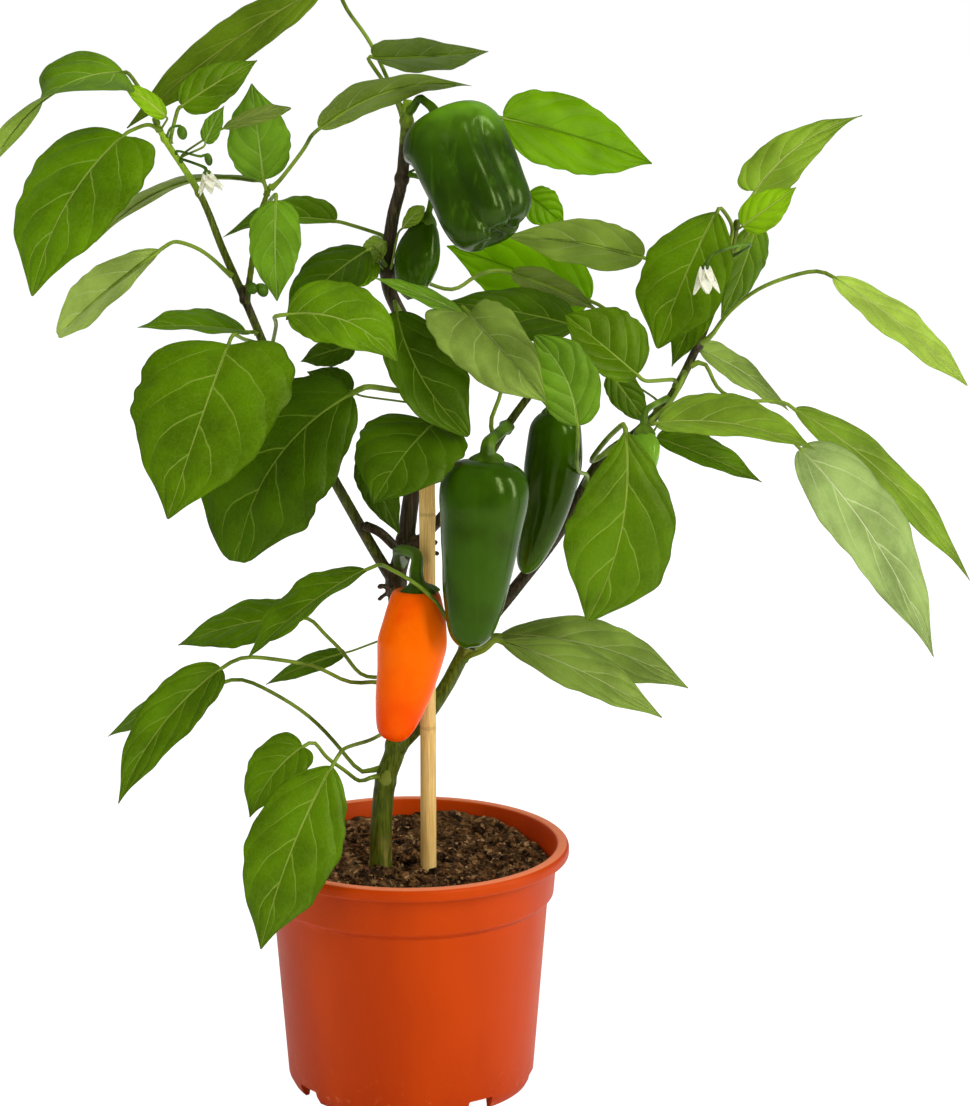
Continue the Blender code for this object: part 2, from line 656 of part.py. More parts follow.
    leaf("leaf_low_1", "main", 0.212, (-0.097, -0.030, 0.236), (-0.150, -0.052, 0.169), 0.033,
         (-0.40, -0.80, 0.40), bow=0.14, sway=0.09, fold=(0.35, 0.6),
         vias=[(-0.031, -0.006, 0.221), (-0.047, -0.012, 0.232), (-0.071, -0.022, 0.239)])
    leaf("leaf_low_2", "main", 0.174, (-0.100, 0.008, 0.218), (-0.164, 0.030, 0.182), 0.03,
         (-0.30, -0.40, 0.85),
         vias=[(-0.023, -0.006, 0.170), (-0.031, 0.000, 0.176), (-0.040, 0.003, 0.187), (-0.058, 0.006, 0.204)])
    leaf("leaf_low_3", "main", 0.169, (-0.054, -0.052, 0.200), (-0.081, -0.066, 0.166), 0.031,
         (-0.20, -0.90, 0.30), bow=0.12, sway=0.14, fold=(0.6, 0.2),
         vias=[(-0.025, -0.016, 0.170), (-0.033, -0.028, 0.180), (-0.043, -0.042, 0.192)])
    leaf("leaf_low_4", "main", 0.188, (-0.038, -0.074, 0.196), (-0.074, -0.102, 0.107), 0.048,
         (-0.10, -0.95, 0.30), sway=0.06, shape=(0.75, 0.95), fold=(0.2, 0.2),
         vias=[(-0.019, -0.024, 0.196), (-0.029, -0.050, 0.200)])

    # Right branch
    leaf("leaf_right_1", "right", 0.237, (0.047, 0.016, 0.242), (0.150, 0.034, 0.208), 0.036,
         (0.15, -0.65, 0.75), bow=0.25, shape=(0.85, 0.95), vias=[(0.039, 0.012, 0.237)])
    leaf("leaf_right_2", "right", 0.234, (0.048, -0.012, 0.246), (0.133, -0.026, 0.208), 0.03,
         (0.20, -0.70, 0.70), bow=0.15, fold=(0.2, 0.4), shape=(0.85, 0.95),
         vias=[(0.040, -0.010, 0.241)])
    leaf("leaf_right_3", "right", 0.343, (0.111, -0.052, 0.367), (0.092, -0.058, 0.268), 0.057,
         (0.10, -0.97, 0.10), bow=0.08, sway=-0.15, shape=(1.05, 0.8),
         vias=[(0.095, 0.000, 0.339), (0.102, -0.022, 0.355), (0.109, -0.044, 0.367)])
    leaf("leaf_right_4", "right", 0.384, (0.128, -0.037, 0.367), (0.206, -0.062, 0.358), 0.044,
         (0.10, -0.60, 0.80), sway=-0.1, fold=(0.2, 0.65), vias=[(0.136, -0.018, 0.375)])
    leaf("leaf_right_5", "right", 0.39, (0.203, -0.012, 0.349), (0.274, -0.024, 0.240), 0.05,
         (0.40, -0.80, 0.40), sway=-0.06, shape=(0.5, 1.0), fold=(0.2, 0.45),
         vias=[(0.162, 0.002, 0.376), (0.185, -0.004, 0.369)])
    leaf("leaf_right_6", "right", 0.366, (0.204, 0.034, 0.361), (0.302, 0.048, 0.264), 0.036,
         (0.60, -0.50, 0.60), bow=0.15, shape=(0.62, 0.95))
    leaf("leaf_right_7", "right", 0.402, (0.153, 0.034, 0.393), (0.204, 0.066, 0.354), 0.031,
         (0.50, -0.40, 0.75))
    leaf("leaf_right_8", "right", 0.378, (0.118, -0.026, 0.390), (0.081, -0.020, 0.420), 0.044,
         (-0.10, -0.90, 0.40), bow=0.08, shape=(0.5, 0.7), fold=(0.9, 0.2))
    leaf("leaf_right_9", "right", 0.398, (0.122, 0.012, 0.445), (0.050, -0.002, 0.458), 0.038,
         (0.00, 0.75, 0.65), vias=[(0.131, 0.010, 0.432)])
    leaf("leaf_right_10", "right", 0.448, (0.159, -0.004, 0.471), (0.128, -0.024, 0.403), 0.049,
         (-0.35, -0.85, 0.35), bow=0.12, shape=(0.85, 0.8), vias=[(0.167, -0.001, 0.463)])
    leaf("leaf_right_11", "right", 0.44, (0.182, 0.034, 0.459), (0.165, 0.046, 0.408), 0.026,
         (0.50, -0.80, 0.20), bow=0.08)
    leaf("leaf_right_12", "right", 0.462, (0.180, 0.020, 0.478), (0.238, 0.048, 0.515), 0.028,
         (0.05, -0.70, 0.70), sway=-0.14, shape=(0.36, 1.25))
    leaf("leaf_right_13", "right", 0.402, (0.220, 0.004, 0.436), (0.288, -0.020, 0.383), 0.036,
         (0.50, -0.45, 0.70), bow=0.07, shape=(0.6, 0.75),
         vias=[(0.163, 0.002, 0.415), (0.181, 0.003, 0.430), (0.203, 0.004, 0.438)])

    # Middle branch
    leaf("leaf_middle_1", "right", 0.324, (0.087, -0.044, 0.367), (0.065, -0.036, 0.412), 0.033,
         (0.10, -0.90, -0.10), bow=0.06, sway=0.2, shape=(0.5, 0.6),
         vias=[(0.088, -0.016, 0.338), (0.087, -0.036, 0.353)])
    leaf("leaf_middle_2", "middle", 0.352, (0.032, -0.042, 0.424), (0.071, -0.060, 0.382), 0.052,
         (-0.20, -0.75, 0.62), shape=(0.4, 0.85), fold=(1.05, 0.45),
         vias=[(0.042, -0.020, 0.365), (0.048, -0.020, 0.378), (0.048, -0.030, 0.404)])
    leaf("leaf_middle_3", "middle", 0.394, (0.087, 0.014, 0.409), (0.018, 0.030, 0.419), 0.038,
         (0.10, -0.60, 0.80), bow=0.06)
    leaf("leaf_middle_4", "middle", 0.398, (0.096, 0.060, 0.415), (0.019, 0.086, 0.441), 0.044,
         (0.00, -0.85, 0.50), bow=0.08, vias=[(0.096, 0.030, 0.411)])


def build_fruits(green, orange, stalk_green):
    """The peppers and what they hang from."""
    bell = (0.0190, -0.010, 0.5190), (0.0450, -0.038, 0.463)
    build_fruit(
        "bell_pepper", *bell,
        [(0.0, 0.012), (0.02, 0.0205), (0.10, 0.0248), (0.22, 0.0270), (0.42, 0.0270),
         (0.64, 0.0262), (0.82, 0.0256), (0.93, 0.0228), (0.98, 0.0168), (1.0, 0.008)],
        green, lobes=4, depth=0.12, turn=0.4,
    )
    build_fruit_stalk(
        "bell_pepper_stalk", "main", 0.522, *bell, stalk_green,
        vias=[(0.0065, 0.000, 0.5285), (0.0090, -0.004, 0.5275)], calyx_radius=0.009,
        thickness=0.0022,
    )
    long = (0.041, -0.050, 0.350), (0.032, -0.062, 0.256)
    build_fruit(
        "long_pepper", *long,
        [(0.0, 0.009), (0.02, 0.0165), (0.06, 0.0205), (0.12, 0.0226), (0.22, 0.0229), (0.35, 0.0213),
         (0.6, 0.0182), (0.8, 0.0150), (0.92, 0.0116), (0.98, 0.0072), (1.0, 0.003)],
        green, bend=(0.0005, 0, 0), lobes=3, depth=0.05,
    )
    build_fruit_stalk(
        "long_pepper_stalk", "middle", 0.361, *long, stalk_green,
        bend=(0.0005, 0, 0), calyx_radius=0.009, thickness=0.0032,
    )
    ripe = (0.0045, -0.037, 0.279), (-0.0095, -0.042, 0.200)
    build_fruit(
        "orange_pepper", *ripe,
        [(0.0, 0.0095), (0.03, 0.0130), (0.10, 0.0148), (0.22, 0.0168), (0.34, 0.0184),
         (0.44, 0.0175), (0.55, 0.0161), (0.70, 0.0143), (0.86, 0.0112), (0.95, 0.0080),
         (1.0, 0.0036)],
        orange, bend=(0.006, 0, 0), lobes=3, depth=0.05, turn=0.5,
    )
    build_fruit_stalk(
        "orange_pepper_stalk", "main", 0.284, *ripe, stalk_green,
        bend=(0.006, 0, 0), vias=[(-0.005, -0.012, 0.295), (0.005, -0.026, 0.2955)],
        calyx_radius=0.0095, thickness=0.0030,
    )
    curved = (0.077, 0.000, 0.366), (0.060, 0.002, 0.279)
    build_fruit(
        "curved_pepper", *curved,
        [(0.0, 0.0065), (0.05, 0.0120), (0.12, 0.0142), (0.30, 0.0153), (0.48, 0.0145),
         (0.65, 0.0122), (0.8, 0.0098), (0.92, 0.0068), (0.98, 0.0034), (1.0, 0.0015)],
        green, bend=(0.010, 0, 0.002), lobes=3, depth=0.05,
    )
    build_fruit_stalk(
        "curved_pepper_stalk", "middle", 0.388, *curved, stalk_green,
        bend=(0.010, 0, 0.002), calyx_radius=0.0064, thickness=0.0022,
    )
    build_young_fruit(
        "small_pepper", "main", 0.488, (0.010, 0.006, 0.465), (0.000, 0.004, 0.424),
        [(0.05, 0.0060), (0.16, 0.0086), (0.35, 0.0112), (0.55, 0.0115), (0.78, 0.0090),
         (0.93, 0.0050), (1.0, 0.0015)],
        green, vias=[(0.012, 0.010, 0.484)], calyx_radius=0.0050,
    )
    build_young_fruit(
        "young_pepper", "right", 0.371, (0.122, -0.020, 0.359), (0.122, -0.026, 0.335),
        [(0.08, 0.0068), (0.25, 0.0088), (0.5, 0.0085), (0.8, 0.006), (1.0, 0.002)],
        green, vias=[(0.124, -0.012, 0.370)], calyx_radius=0.0055,
    )


def build_flowers(petal):
    build_flower(
        "flower_left", "left", 0.496, (-0.1015, -0.012, 0.4915), (-0.099, -0.015, 0.4825), 0.0085,
        petal,
    )
    build_flower(
        "flower_right", "right", 0.446, (0.151, -0.038, 0.447), (0.152, -0.040, 0.434), 0.0075,
        petal, vias=[(0.176, -0.014, 0.455), (0.170, -0.032, 0.458), (0.157, -0.038, 0.455)],
    )


def main():
    for obj in list(bpy.context.scene.objects):
        bpy.data.objects.remove(obj, do_unlink=True)
    plastic = material("pot_plastic", (0.60, 0.09, 0.025), 0.38)
    earth = material("soil", (0.035, 0.018, 0.010), 0.95)
    bamboo = material("bamboo", (0.62, 0.42, 0.20), 0.55)
    stem_green = material("stem_green", (0.10, 0.17, 0.03), 0.5)
    leaf_green = material("leaf_green", (0.09, 0.22, 0.02), 0.45)
    pepper_green = material("pepper_green", (0.02, 0.09, 0.01), 0.15)
    pepper_orange = material("pepper_orange", (0.95, 0.16, 0.005), 0.18)
    petal = material("petal_white", (0.85, 0.86, 0.72), 0.6)
    build_pot(plastic)
    build_soil(earth)
    build_cane(bamboo)
    build_stem(stem_green)
    build_leaves(leaf_green)
    build_fruits(pepper_green, pepper_orange, stem_green)
    build_flowers(petal)


main()
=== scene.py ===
"""A potted sweet pepper plant in fruit, dressed for a plain pale studio; metres, +Z up."""

import math
import random

import bmesh
import bpy
import numpy as np
from mathutils import Matrix, Vector, noise


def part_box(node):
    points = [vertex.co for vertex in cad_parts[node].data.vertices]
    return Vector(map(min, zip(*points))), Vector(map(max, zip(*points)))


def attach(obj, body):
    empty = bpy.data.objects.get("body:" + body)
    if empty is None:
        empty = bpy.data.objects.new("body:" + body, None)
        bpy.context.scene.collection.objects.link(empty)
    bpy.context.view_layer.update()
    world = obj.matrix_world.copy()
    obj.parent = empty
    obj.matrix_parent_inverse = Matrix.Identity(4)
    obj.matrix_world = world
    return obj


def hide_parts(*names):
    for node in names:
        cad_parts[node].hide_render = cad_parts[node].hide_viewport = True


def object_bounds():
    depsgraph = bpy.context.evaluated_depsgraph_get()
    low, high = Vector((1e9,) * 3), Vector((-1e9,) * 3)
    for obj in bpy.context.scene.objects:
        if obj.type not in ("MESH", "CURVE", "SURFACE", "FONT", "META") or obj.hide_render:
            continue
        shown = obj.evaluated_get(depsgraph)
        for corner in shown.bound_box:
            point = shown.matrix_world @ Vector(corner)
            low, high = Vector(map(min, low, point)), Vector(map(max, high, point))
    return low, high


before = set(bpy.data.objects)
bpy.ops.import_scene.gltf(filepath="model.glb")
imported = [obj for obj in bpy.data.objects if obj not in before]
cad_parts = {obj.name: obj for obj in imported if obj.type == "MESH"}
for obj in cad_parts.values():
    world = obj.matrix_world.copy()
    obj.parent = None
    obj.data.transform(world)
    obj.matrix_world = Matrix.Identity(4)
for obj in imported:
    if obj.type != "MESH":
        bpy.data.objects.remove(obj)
cad_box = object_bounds()
scene = bpy.context.scene


# ------------------------------------------------------------------ the view
# A long lens, level with the top of the plant, looks down on it a little. The pot stands at the
# bottom edge of the picture.
camera = bpy.data.objects.new("view", bpy.data.cameras.new("view"))
camera.data.lens = 114.5
camera.data.sensor_width = 36
camera.location = (0.040, -1.800, 0.700)
camera.rotation_euler = (math.radians(90 - 12.81), 0, 0)
scene.collection.objects.link(camera)
scene.camera = camera
scene.view_settings.view_transform = "Standard"


# ------------------------------------------------------------------ the studio
# A white floor that takes a faint shadow, a white surround, tall softboxes before the plant and
# beside it on the right, a broad weak one on the left and a lamp behind that shines through leaves.
FLOOR_SIDE = 12.0
FLOOR_GAP = 0.0002
FLOOR_GLOW = 1.25  # it keeps the unlit far floor white, while a shadow still tells beside the pot
PLANT_MIDDLE = Vector((0.03, 0.0, 0.34))


def linear(red, green, blue):
    """A screen colour of 0 to 255 a channel, as the linear colour that shaders use."""
    return tuple(
        part / 12.92 if part <= 0.04045 else ((part + 0.055) / 1.055) ** 2.4
        for part in (red / 255, green / 255, blue / 255)
    )


def put(tree, kind, inputs=(), **settings):
    """Adds a shader node, sets it, and gives its inputs values or links them to sockets."""
    node = tree.nodes.new(kind)
    for name, value in settings.items():
        setattr(node, name, value)
    for key, value in dict(inputs).items():
        if isinstance(value, bpy.types.NodeSocket):
            tree.links.new(value, node.inputs[key])
        elif isinstance(value, tuple) and len(value) == 3 and node.inputs[key].type == "RGBA":
            node.inputs[key].default_value = (*value, 1.0)
        else:
            node.inputs[key].default_value = value
    return node


def new_material(name):
    """An empty material, its node tree and its output node."""
    made = bpy.data.materials.new(name)
    made.use_nodes = True
    made.node_tree.nodes.clear()
    return made, made.node_tree, put(made.node_tree, "ShaderNodeOutputMaterial")


def softbox(name, place, width, height, watts, mirrored=False):
    """A rectangular lamp that faces the plant; only a mirrored one shows in glossy skins."""
    lamp = bpy.data.lights.new(name, "AREA")
    lamp.shape = "RECTANGLE"
    lamp.size = width
    lamp.size_y = height
    lamp.energy = watts
    made = bpy.data.objects.new(name, lamp)
    made.location = place
    made.visible_glossy = mirrored
    toward = PLANT_MIDDLE - Vector(place)
    made.rotation_euler = toward.to_track_quat("-Z", "Y").to_euler()
    scene.collection.objects.link(made)


softbox("key_softbox", (1.15, -1.45, 1.35), 0.30, 1.50, 20, mirrored=True)
softbox("side_softbox", (1.90, -0.45, 0.85), 0.30, 1.50, 16, mirrored=True)
softbox("fill_softbox", (-1.10, -1.70, 0.90), 1.20, 1.20, 12)
softbox("back_lamp", (-0.50, 1.70, 1.30), 1.60, 1.20, 26)
softbox("top_lamp", (0.10, -0.10, 1.90), 0.90, 0.90, 8)

surround = bpy.data.worlds.new("surround")
scene.world = surround
surround.use_nodes = True
surround.node_tree.nodes.clear()
path = put(surround.node_tree, "ShaderNodeLightPath")
seen = put(
    surround.node_tree, "ShaderNodeMath",
    {0: path.outputs["Is Camera Ray"], 1: path.outputs["Is Transmission Ray"]},
    operation="MAXIMUM",
)
dim = put(surround.node_tree, "ShaderNodeBackground", {"Color": (1, 1, 1), "Strength": 0.24})
white = put(surround.node_tree, "ShaderNodeBackground", {"Color": (1, 1, 1), "Strength": 1.0})
either = put(
    surround.node_tree, "ShaderNodeMixShader",
    {0: seen.outputs[0], 1: dim.outputs[0], 2: white.outputs[0]},
)
put(surround.node_tree, "ShaderNodeOutputWorld", {"Surface": either.outputs[0]})

floor_white, tree, output = new_material("floor_white")
path = put(tree, "ShaderNodeLightPath")
matt = put(tree, "ShaderNodeBsdfDiffuse", {"Color": (0.9, 0.9, 0.9)})
shine = put(tree, "ShaderNodeEmission", {"Color": (1, 1, 1), "Strength": FLOOR_GLOW})
share = put(
    tree, "ShaderNodeMath", {0: path.outputs["Is Camera Ray"], 1: 1 / FLOOR_GLOW},
    operation="MULTIPLY",
)
whole = put(
    tree, "ShaderNodeMixShader", {0: share.outputs[0], 1: matt.outputs[0], 2: shine.outputs[0]}
)
tree.links.new(whole.outputs[0], output.inputs["Surface"])


def as_object(name, bm):
    """Puts a bmesh in the scene as an object with a mesh of its own; the bmesh is spent."""
    made = bpy.data.objects.new(name, bpy.data.meshes.new(name))
    bm.to_mesh(made.data)
    bm.free()
    scene.collection.objects.link(made)
    return made


bm = bmesh.new()
bmesh.ops.create_grid(bm, x_segments=1, y_segments=1, size=FLOOR_SIDE / 2)
floor = as_object("floor", bm)
floor.data.transform(Matrix.Translation((0, 0, cad_box[0].z - FLOOR_GAP)))
floor.data.materials.append(floor_white)


# ------------------------------------------------------------------ the pot
# A thin-walled nursery pot, injection-moulded in terracotta-orange plastic: a rolled rim, a collar
# under it, a slightly tapered body and a turned-in foot. It stands on the flat middle of its base
# and on that foot, and the channel between them is raised and drains through notches in the foot.
RIM_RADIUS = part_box("pot")[1].x
RIM_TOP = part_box("pot")[1].z
RIM_DEPTH = 0.0066
COLLAR_RADIUS = 0.0775
COLLAR_BOTTOM = 0.105
BODY_TOP_RADIUS = 0.0736
BASE_RADIUS = 0.0662
FOOT_RADIUS = 0.0638
FOOT_HEIGHT = 0.0060
FLOOR_UNDER = 0.0076
FLOOR_OVER = 0.0098
PAD_RADIUS = 0.0440  # of the flat middle that the pot stands on
PAD_SLOPE = 0.0024
PAD_INSIDE = 0.0009  # how far the slope's top is out from the pad's edge, inside
PAD_THICKNESS = 0.0022
WALL = 0.0020
POT_STEPS = 160
NOTCHES = 8
NOTCH_SIZE = (0.024, 0.0150, 0.0146)
NOTCH_TURN = 0.78  # share of one spacing by which the ring of notches is turned
POT_ORANGE = linear(194, 62, 0)
POT_DEEP = linear(176, 52, 0)
# pale colour for dust low on the pot and for the painted highlight along the rim's top
POT_HIGHLIGHT_AND_DUST = linear(232, 140, 96)


def arc(centre, radius, start, end, steps):
    """Points of (radius, height) on an arc, its angles in degrees from straight out."""
    return [
        (
            centre[0] + radius * math.cos(math.radians(start + (end - start) * i / steps)),
            centre[1] + radius * math.sin(math.radians(start + (end - start) * i / steps)),
        )
        for i in range(steps + 1)
    ]


def turned(profile, steps):
    """A bmesh of a closed outline of (radius, height) points, spun about the pot's axis."""
    bm = bmesh.new()
    corners = [bm.verts.new((radius, 0, height)) for radius, height in profile]
    edges = [bm.edges.new((a, b)) for a, b in zip(corners, corners[1:] + corners[:1])]
    bmesh.ops.spin(
        bm, geom=corners + edges, cent=(0, 0, 0), axis=(0, 0, 1), angle=math.tau, steps=steps,
        use_merge=True,
    )
    bmesh.ops.remove_doubles(bm, verts=bm.verts, dist=1e-6)
    bmesh.ops.recalc_face_normals(bm, faces=bm.faces)
    return bm


def add_piece(name, bm, nodes, finishes, sharp=50):
    """Makes a piece of a bmesh: it rides on the plant and stands for the given CAD nodes."""
    made = as_object(name, bm)
    made.data.shade_smooth()
    made.data.set_sharp_from_angle(angle=math.radians(sharp))
    for finish in finishes:
        made.data.materials.append(finish)
    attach(made, "root")
    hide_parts(*nodes)
    return made


def maths(tree, operation, first, second=0.0):
    """The socket of a maths node."""
    return put(tree, "ShaderNodeMath", {0: first, 1: second}, operation=operation).outputs[0]


def times(tree, first, second):
    """The socket of a product."""
    return maths(tree, "MULTIPLY", first, second)


def spread(tree, value, reach, start):
    """The socket of a value of 0 to 1 spread over a reach from a start."""
    return maths(tree, "ADD", times(tree, value, reach), start)


def fade(tree, value, low, high):
    """Smoothly 0 at low and 1 at high, or the other way where low is the larger."""
    node = put(
        tree, "ShaderNodeMapRange", {"Value": value, "From Min": low, "From Max": high},
        interpolation_type="SMOOTHSTEP",
    )
    return node.outputs["Result"]


def mixed(tree, share, first, second):
    """The colour socket of a mix of two colours."""
    node = put(tree, "ShaderNodeMix", {0: share, 6: first, 7: second}, data_type="RGBA")
    return node.outputs[2]


def speckle(tree, scale, detail=3.0, stretch=(1, 1, 1), roughness=0.5):
    """Noise on the object's own coordinates, scale in cells a metre."""
    place = put(tree, "ShaderNodeTexCoord").outputs["Object"]
    place = put(tree, "ShaderNodeMapping", {"Vector": place, "Scale": stretch}).outputs[0]
    node = put(
        tree, "ShaderNodeTexNoise",
        {"Vector": place, "Scale": scale, "Detail": detail, "Roughness": roughness},
    )
    return node.outputs["Fac"]


def relief(tree, height, strength, distance):
    """The normal socket of a bump."""
    node = put(
        tree, "ShaderNodeBump", {"Height": height, "Strength": strength, "Distance": distance}
    )
    return node.outputs[0]


def own_height(tree):
    """The socket of a point's height above the ground."""
    place = put(tree, "ShaderNodeTexCoord").outputs["Object"]
    return put(tree, "ShaderNodeSeparateXYZ", {0: place}).outputs["Z"]


def cover(tree, output, inputs):
    """Covers a material's surface with a Principled shader that has these inputs."""
    skin = put(tree, "ShaderNodeBsdfPrincipled", inputs)
    tree.links.new(skin.outputs[0], output.inputs["Surface"])


def pot_plastic():
    """Orange plastic with soft flow marks, a fine moulded grain and a paler lip, a painted
    highlight.
    """
    made, tree, output = new_material("pot_plastic")
    height = own_height(tree)
    flow = speckle(tree, 16.0, 3.0, (1, 1, 0.35))
    colour = mixed(tree, fade(tree, flow, 0.36, 0.68), POT_DEEP, POT_ORANGE)
    # painted highlight: the top of the lip is paled, as if lit
    lip_highlight = times(tree, fade(tree, height, RIM_TOP - 0.0009, RIM_TOP - 0.0003), 0.70)
    colour = mixed(tree, lip_highlight, colour, POT_HIGHLIGHT_AND_DUST)
    dust = fade(tree, speckle(tree, 190.0, 5.0), 0.58, 0.78)
    low = times(tree, fade(tree, height, 0.030, 0.002), 0.35)
    colour = mixed(tree, times(tree, dust, low), colour, POT_HIGHLIGHT_AND_DUST)
    grain = maths(tree, "ADD", speckle(tree, 900.0, 2.0), times(tree, flow, 1.6))
    cover(tree, output, {
        "Base Color": colour,
        "Roughness": spread(tree, speckle(tree, 60.0, 4.0), 0.14, 0.36),
        "Specular IOR Level": 0.24,
        "Specular Tint": (1.0, 0.60, 0.30),
        "Normal": relief(tree, grain, 0.22, 0.0004),
    })
    return made


collar_inside = COLLAR_RADIUS - WALL
outer_side = [
    (0.0, 0.0),
    (PAD_RADIUS, 0.0),
    (PAD_RADIUS + PAD_SLOPE, FLOOR_UNDER),
    (FOOT_RADIUS - 0.0040, FLOOR_UNDER),
    (FOOT_RADIUS - 0.0028, 0.0002),
    *arc((FOOT_RADIUS - 0.0012, 0.0012), 0.0012, -90, -30, 3),
    (BASE_RADIUS - 0.0004, FOOT_HEIGHT - 0.0014),
    (BASE_RADIUS, FOOT_HEIGHT),
    *[
        (BASE_RADIUS + (BODY_TOP_RADIUS - BASE_RADIUS) * i / 12,
         FOOT_HEIGHT + (COLLAR_BOTTOM - 0.0035 - FOOT_HEIGHT) * i / 12)
        for i in range(1, 13)
    ],
    *arc((BODY_TOP_RADIUS + 0.0012, COLLAR_BOTTOM - 0.0030), 0.0012, 180, 100, 4),
    *arc((COLLAR_RADIUS - 0.0026, COLLAR_BOTTOM + 0.0016), 0.0020, -60, 0, 5),
    (COLLAR_RADIUS, COLLAR_BOTTOM + 0.009),
    (COLLAR_RADIUS + 0.0008, RIM_TOP - RIM_DEPTH - 0.0022),
]
rim = [
    *arc((COLLAR_RADIUS + 0.0024, RIM_TOP - RIM_DEPTH - 0.0022), 0.0016, 180, 90, 4),
    *arc((RIM_RADIUS - 0.0016, RIM_TOP - RIM_DEPTH + 0.0012), 0.0016, -75, 0, 5),
    (RIM_RADIUS, RIM_TOP - 0.0045),
    *arc((RIM_RADIUS - 0.0030, RIM_TOP - 0.0030), 0.0030, 0, 90, 8),
    *arc((RIM_RADIUS - 0.0044, RIM_TOP - 0.0026), 0.0026, 90, 170, 6),
]
inner_side = [
    (collar_inside + 0.0004, RIM_TOP - RIM_DEPTH - 0.001),
    (collar_inside, COLLAR_BOTTOM + 0.006),
    (collar_inside - 0.001, COLLAR_BOTTOM),
    (BODY_TOP_RADIUS - WALL, COLLAR_BOTTOM - 0.004),
    (BASE_RADIUS - WALL, FLOOR_OVER),
    (PAD_RADIUS + PAD_INSIDE, FLOOR_OVER),
    (PAD_RADIUS + PAD_INSIDE - PAD_SLOPE, PAD_THICKNESS),
    (0.0, PAD_THICKNESS),
]
pot_whole = as_object("pot_whole", turned(outer_side + rim + inner_side, POT_STEPS))

notch_bm = bmesh.new()
for number in range(NOTCHES):
    turn = math.tau * (number + NOTCH_TURN) / NOTCHES - math.pi / 2
    corners = bmesh.ops.create_cube(notch_bm, size=1.0)["verts"]
    bmesh.ops.scale(notch_bm, vec=NOTCH_SIZE, verts=corners)
    edges = [
        edge for edge in notch_bm.edges
        if all(corner in corners for corner in edge.verts)
        and edge.verts[0].co.x * edge.verts[1].co.x < 0
    ]
    rounded = bmesh.ops.bevel(
        notch_bm, geom=edges, offset=0.0010, segments=3, profile=0.5, affect="EDGES", material=-1
    )
    bmesh.ops.transform(
        notch_bm, matrix=Matrix.Rotation(turn, 4, "Z") @ Matrix.Translation((BASE_RADIUS, 0, 0)),
        verts=list({*rounded["verts"], *[v for v in corners if v.is_valid]}),
    )
notch_cutter = as_object("notch_cutter", notch_bm)


def as_bmesh(obj, *spent):
    """A bmesh of an object as its modifiers leave it; the object and its helpers are removed."""
    evaluated = obj.evaluated_get(bpy.context.evaluated_depsgraph_get())
    bm = bmesh.new()
    bm.from_mesh(evaluated.to_mesh())
    evaluated.to_mesh_clear()
    for each in (obj, *spent):
        bpy.data.objects.remove(each, do_unlink=True)
    return bm


cut = pot_whole.modifiers.new("Notches", "BOOLEAN")
cut.operation = "DIFFERENCE"
cut.object = notch_cutter
add_piece(
    "moulded_pot", as_bmesh(pot_whole, notch_cutter), ["pot"], [pot_plastic()],
    sharp=35,
)


# ------------------------------------------------------------------ the soil
# Dark peat-based potting mix, filled to a finger's breadth under the rim: a lumpy bed that rises
# towards the back wall, with clods, loose crumbs, chips of bark, threads and pale grains on it.
SOIL_LEVEL = 0.1215
SOIL_GAP = 0.0004
SOIL_BOTTOM = FLOOR_OVER + SOIL_GAP
SOIL_RADIUS = COLLAR_RADIUS - WALL - 0.0014
SOIL_RINGS = 52
CLODS = 70
CRUMBS = 1500
BARK_CHIPS = 110
THREADS = 60
PALE_GRAINS = 70


def soil_height(x, y):
    """The bed's height: broad humps, clods and grit, and a rise towards the wall at the back."""
    humps = noise.noise(Vector((x * 45, y * 45, 0.3))) * 0.0026
    clods = noise.noise(Vector((x * 150, y * 150, 2.7))) * 0.0024
    grit = noise.noise(Vector((x * 420, y * 420, 5.1))) * 0.0012
    bank = max(0.0, (y + 0.35 * x) / SOIL_RADIUS - 0.35) ** 2 * 0.010
    return SOIL_LEVEL + humps + clods + grit + bank


def toned(colour, share):
    """A colour made darker or lighter by a share."""
    return tuple(part * share for part in colour)


def soil_finish(name, dark, brown, pale, amount):
    """Soil of two browns that vary from crumb to crumb, with a share of paler fibres."""
    made, tree, output = new_material(name)
    place = put(tree, "ShaderNodeTexCoord").outputs["Object"]
    cells = put(tree, "ShaderNodeTexVoronoi", {"Vector": place, "Scale": 420.0})
    shade = put(tree, "ShaderNodeSeparateColor", {0: cells.outputs["Color"]}).outputs
    colour = mixed(tree, maths(tree, "POWER", shade[0], 1.6), dark, brown)
    damp = fade(tree, speckle(tree, 110.0, 3.0), 0.56, 0.36)
    colour = mixed(tree, damp, colour, toned(dark, 0.35))
    colour = mixed(tree, fade(tree, shade[1], 1.0 - amount, 1.0), colour, pale)
    grain = maths(tree, "ADD", speckle(tree, 1400.0, 4.0), cells.outputs["Distance"])
    cover(tree, output, {
        "Base Color": colour,
        "Roughness": spread(tree, shade[2], 0.3, 0.65),
        "Specular IOR Level": 0.12,
        "Normal": relief(tree, grain, 0.9, 0.0008),
    })
    return made


peat = soil_finish("peat", linear(60, 40, 20), linear(130, 92, 54), linear(164, 128, 84), 0.18)
bark = soil_finish(
    "bark_chips", linear(76, 44, 22), linear(130, 84, 48), linear(168, 126, 82), 0.25
)
grit = soil_finish(
    "pale_grit", linear(160, 136, 96), linear(206, 188, 150), linear(230, 220, 196), 0.3
)

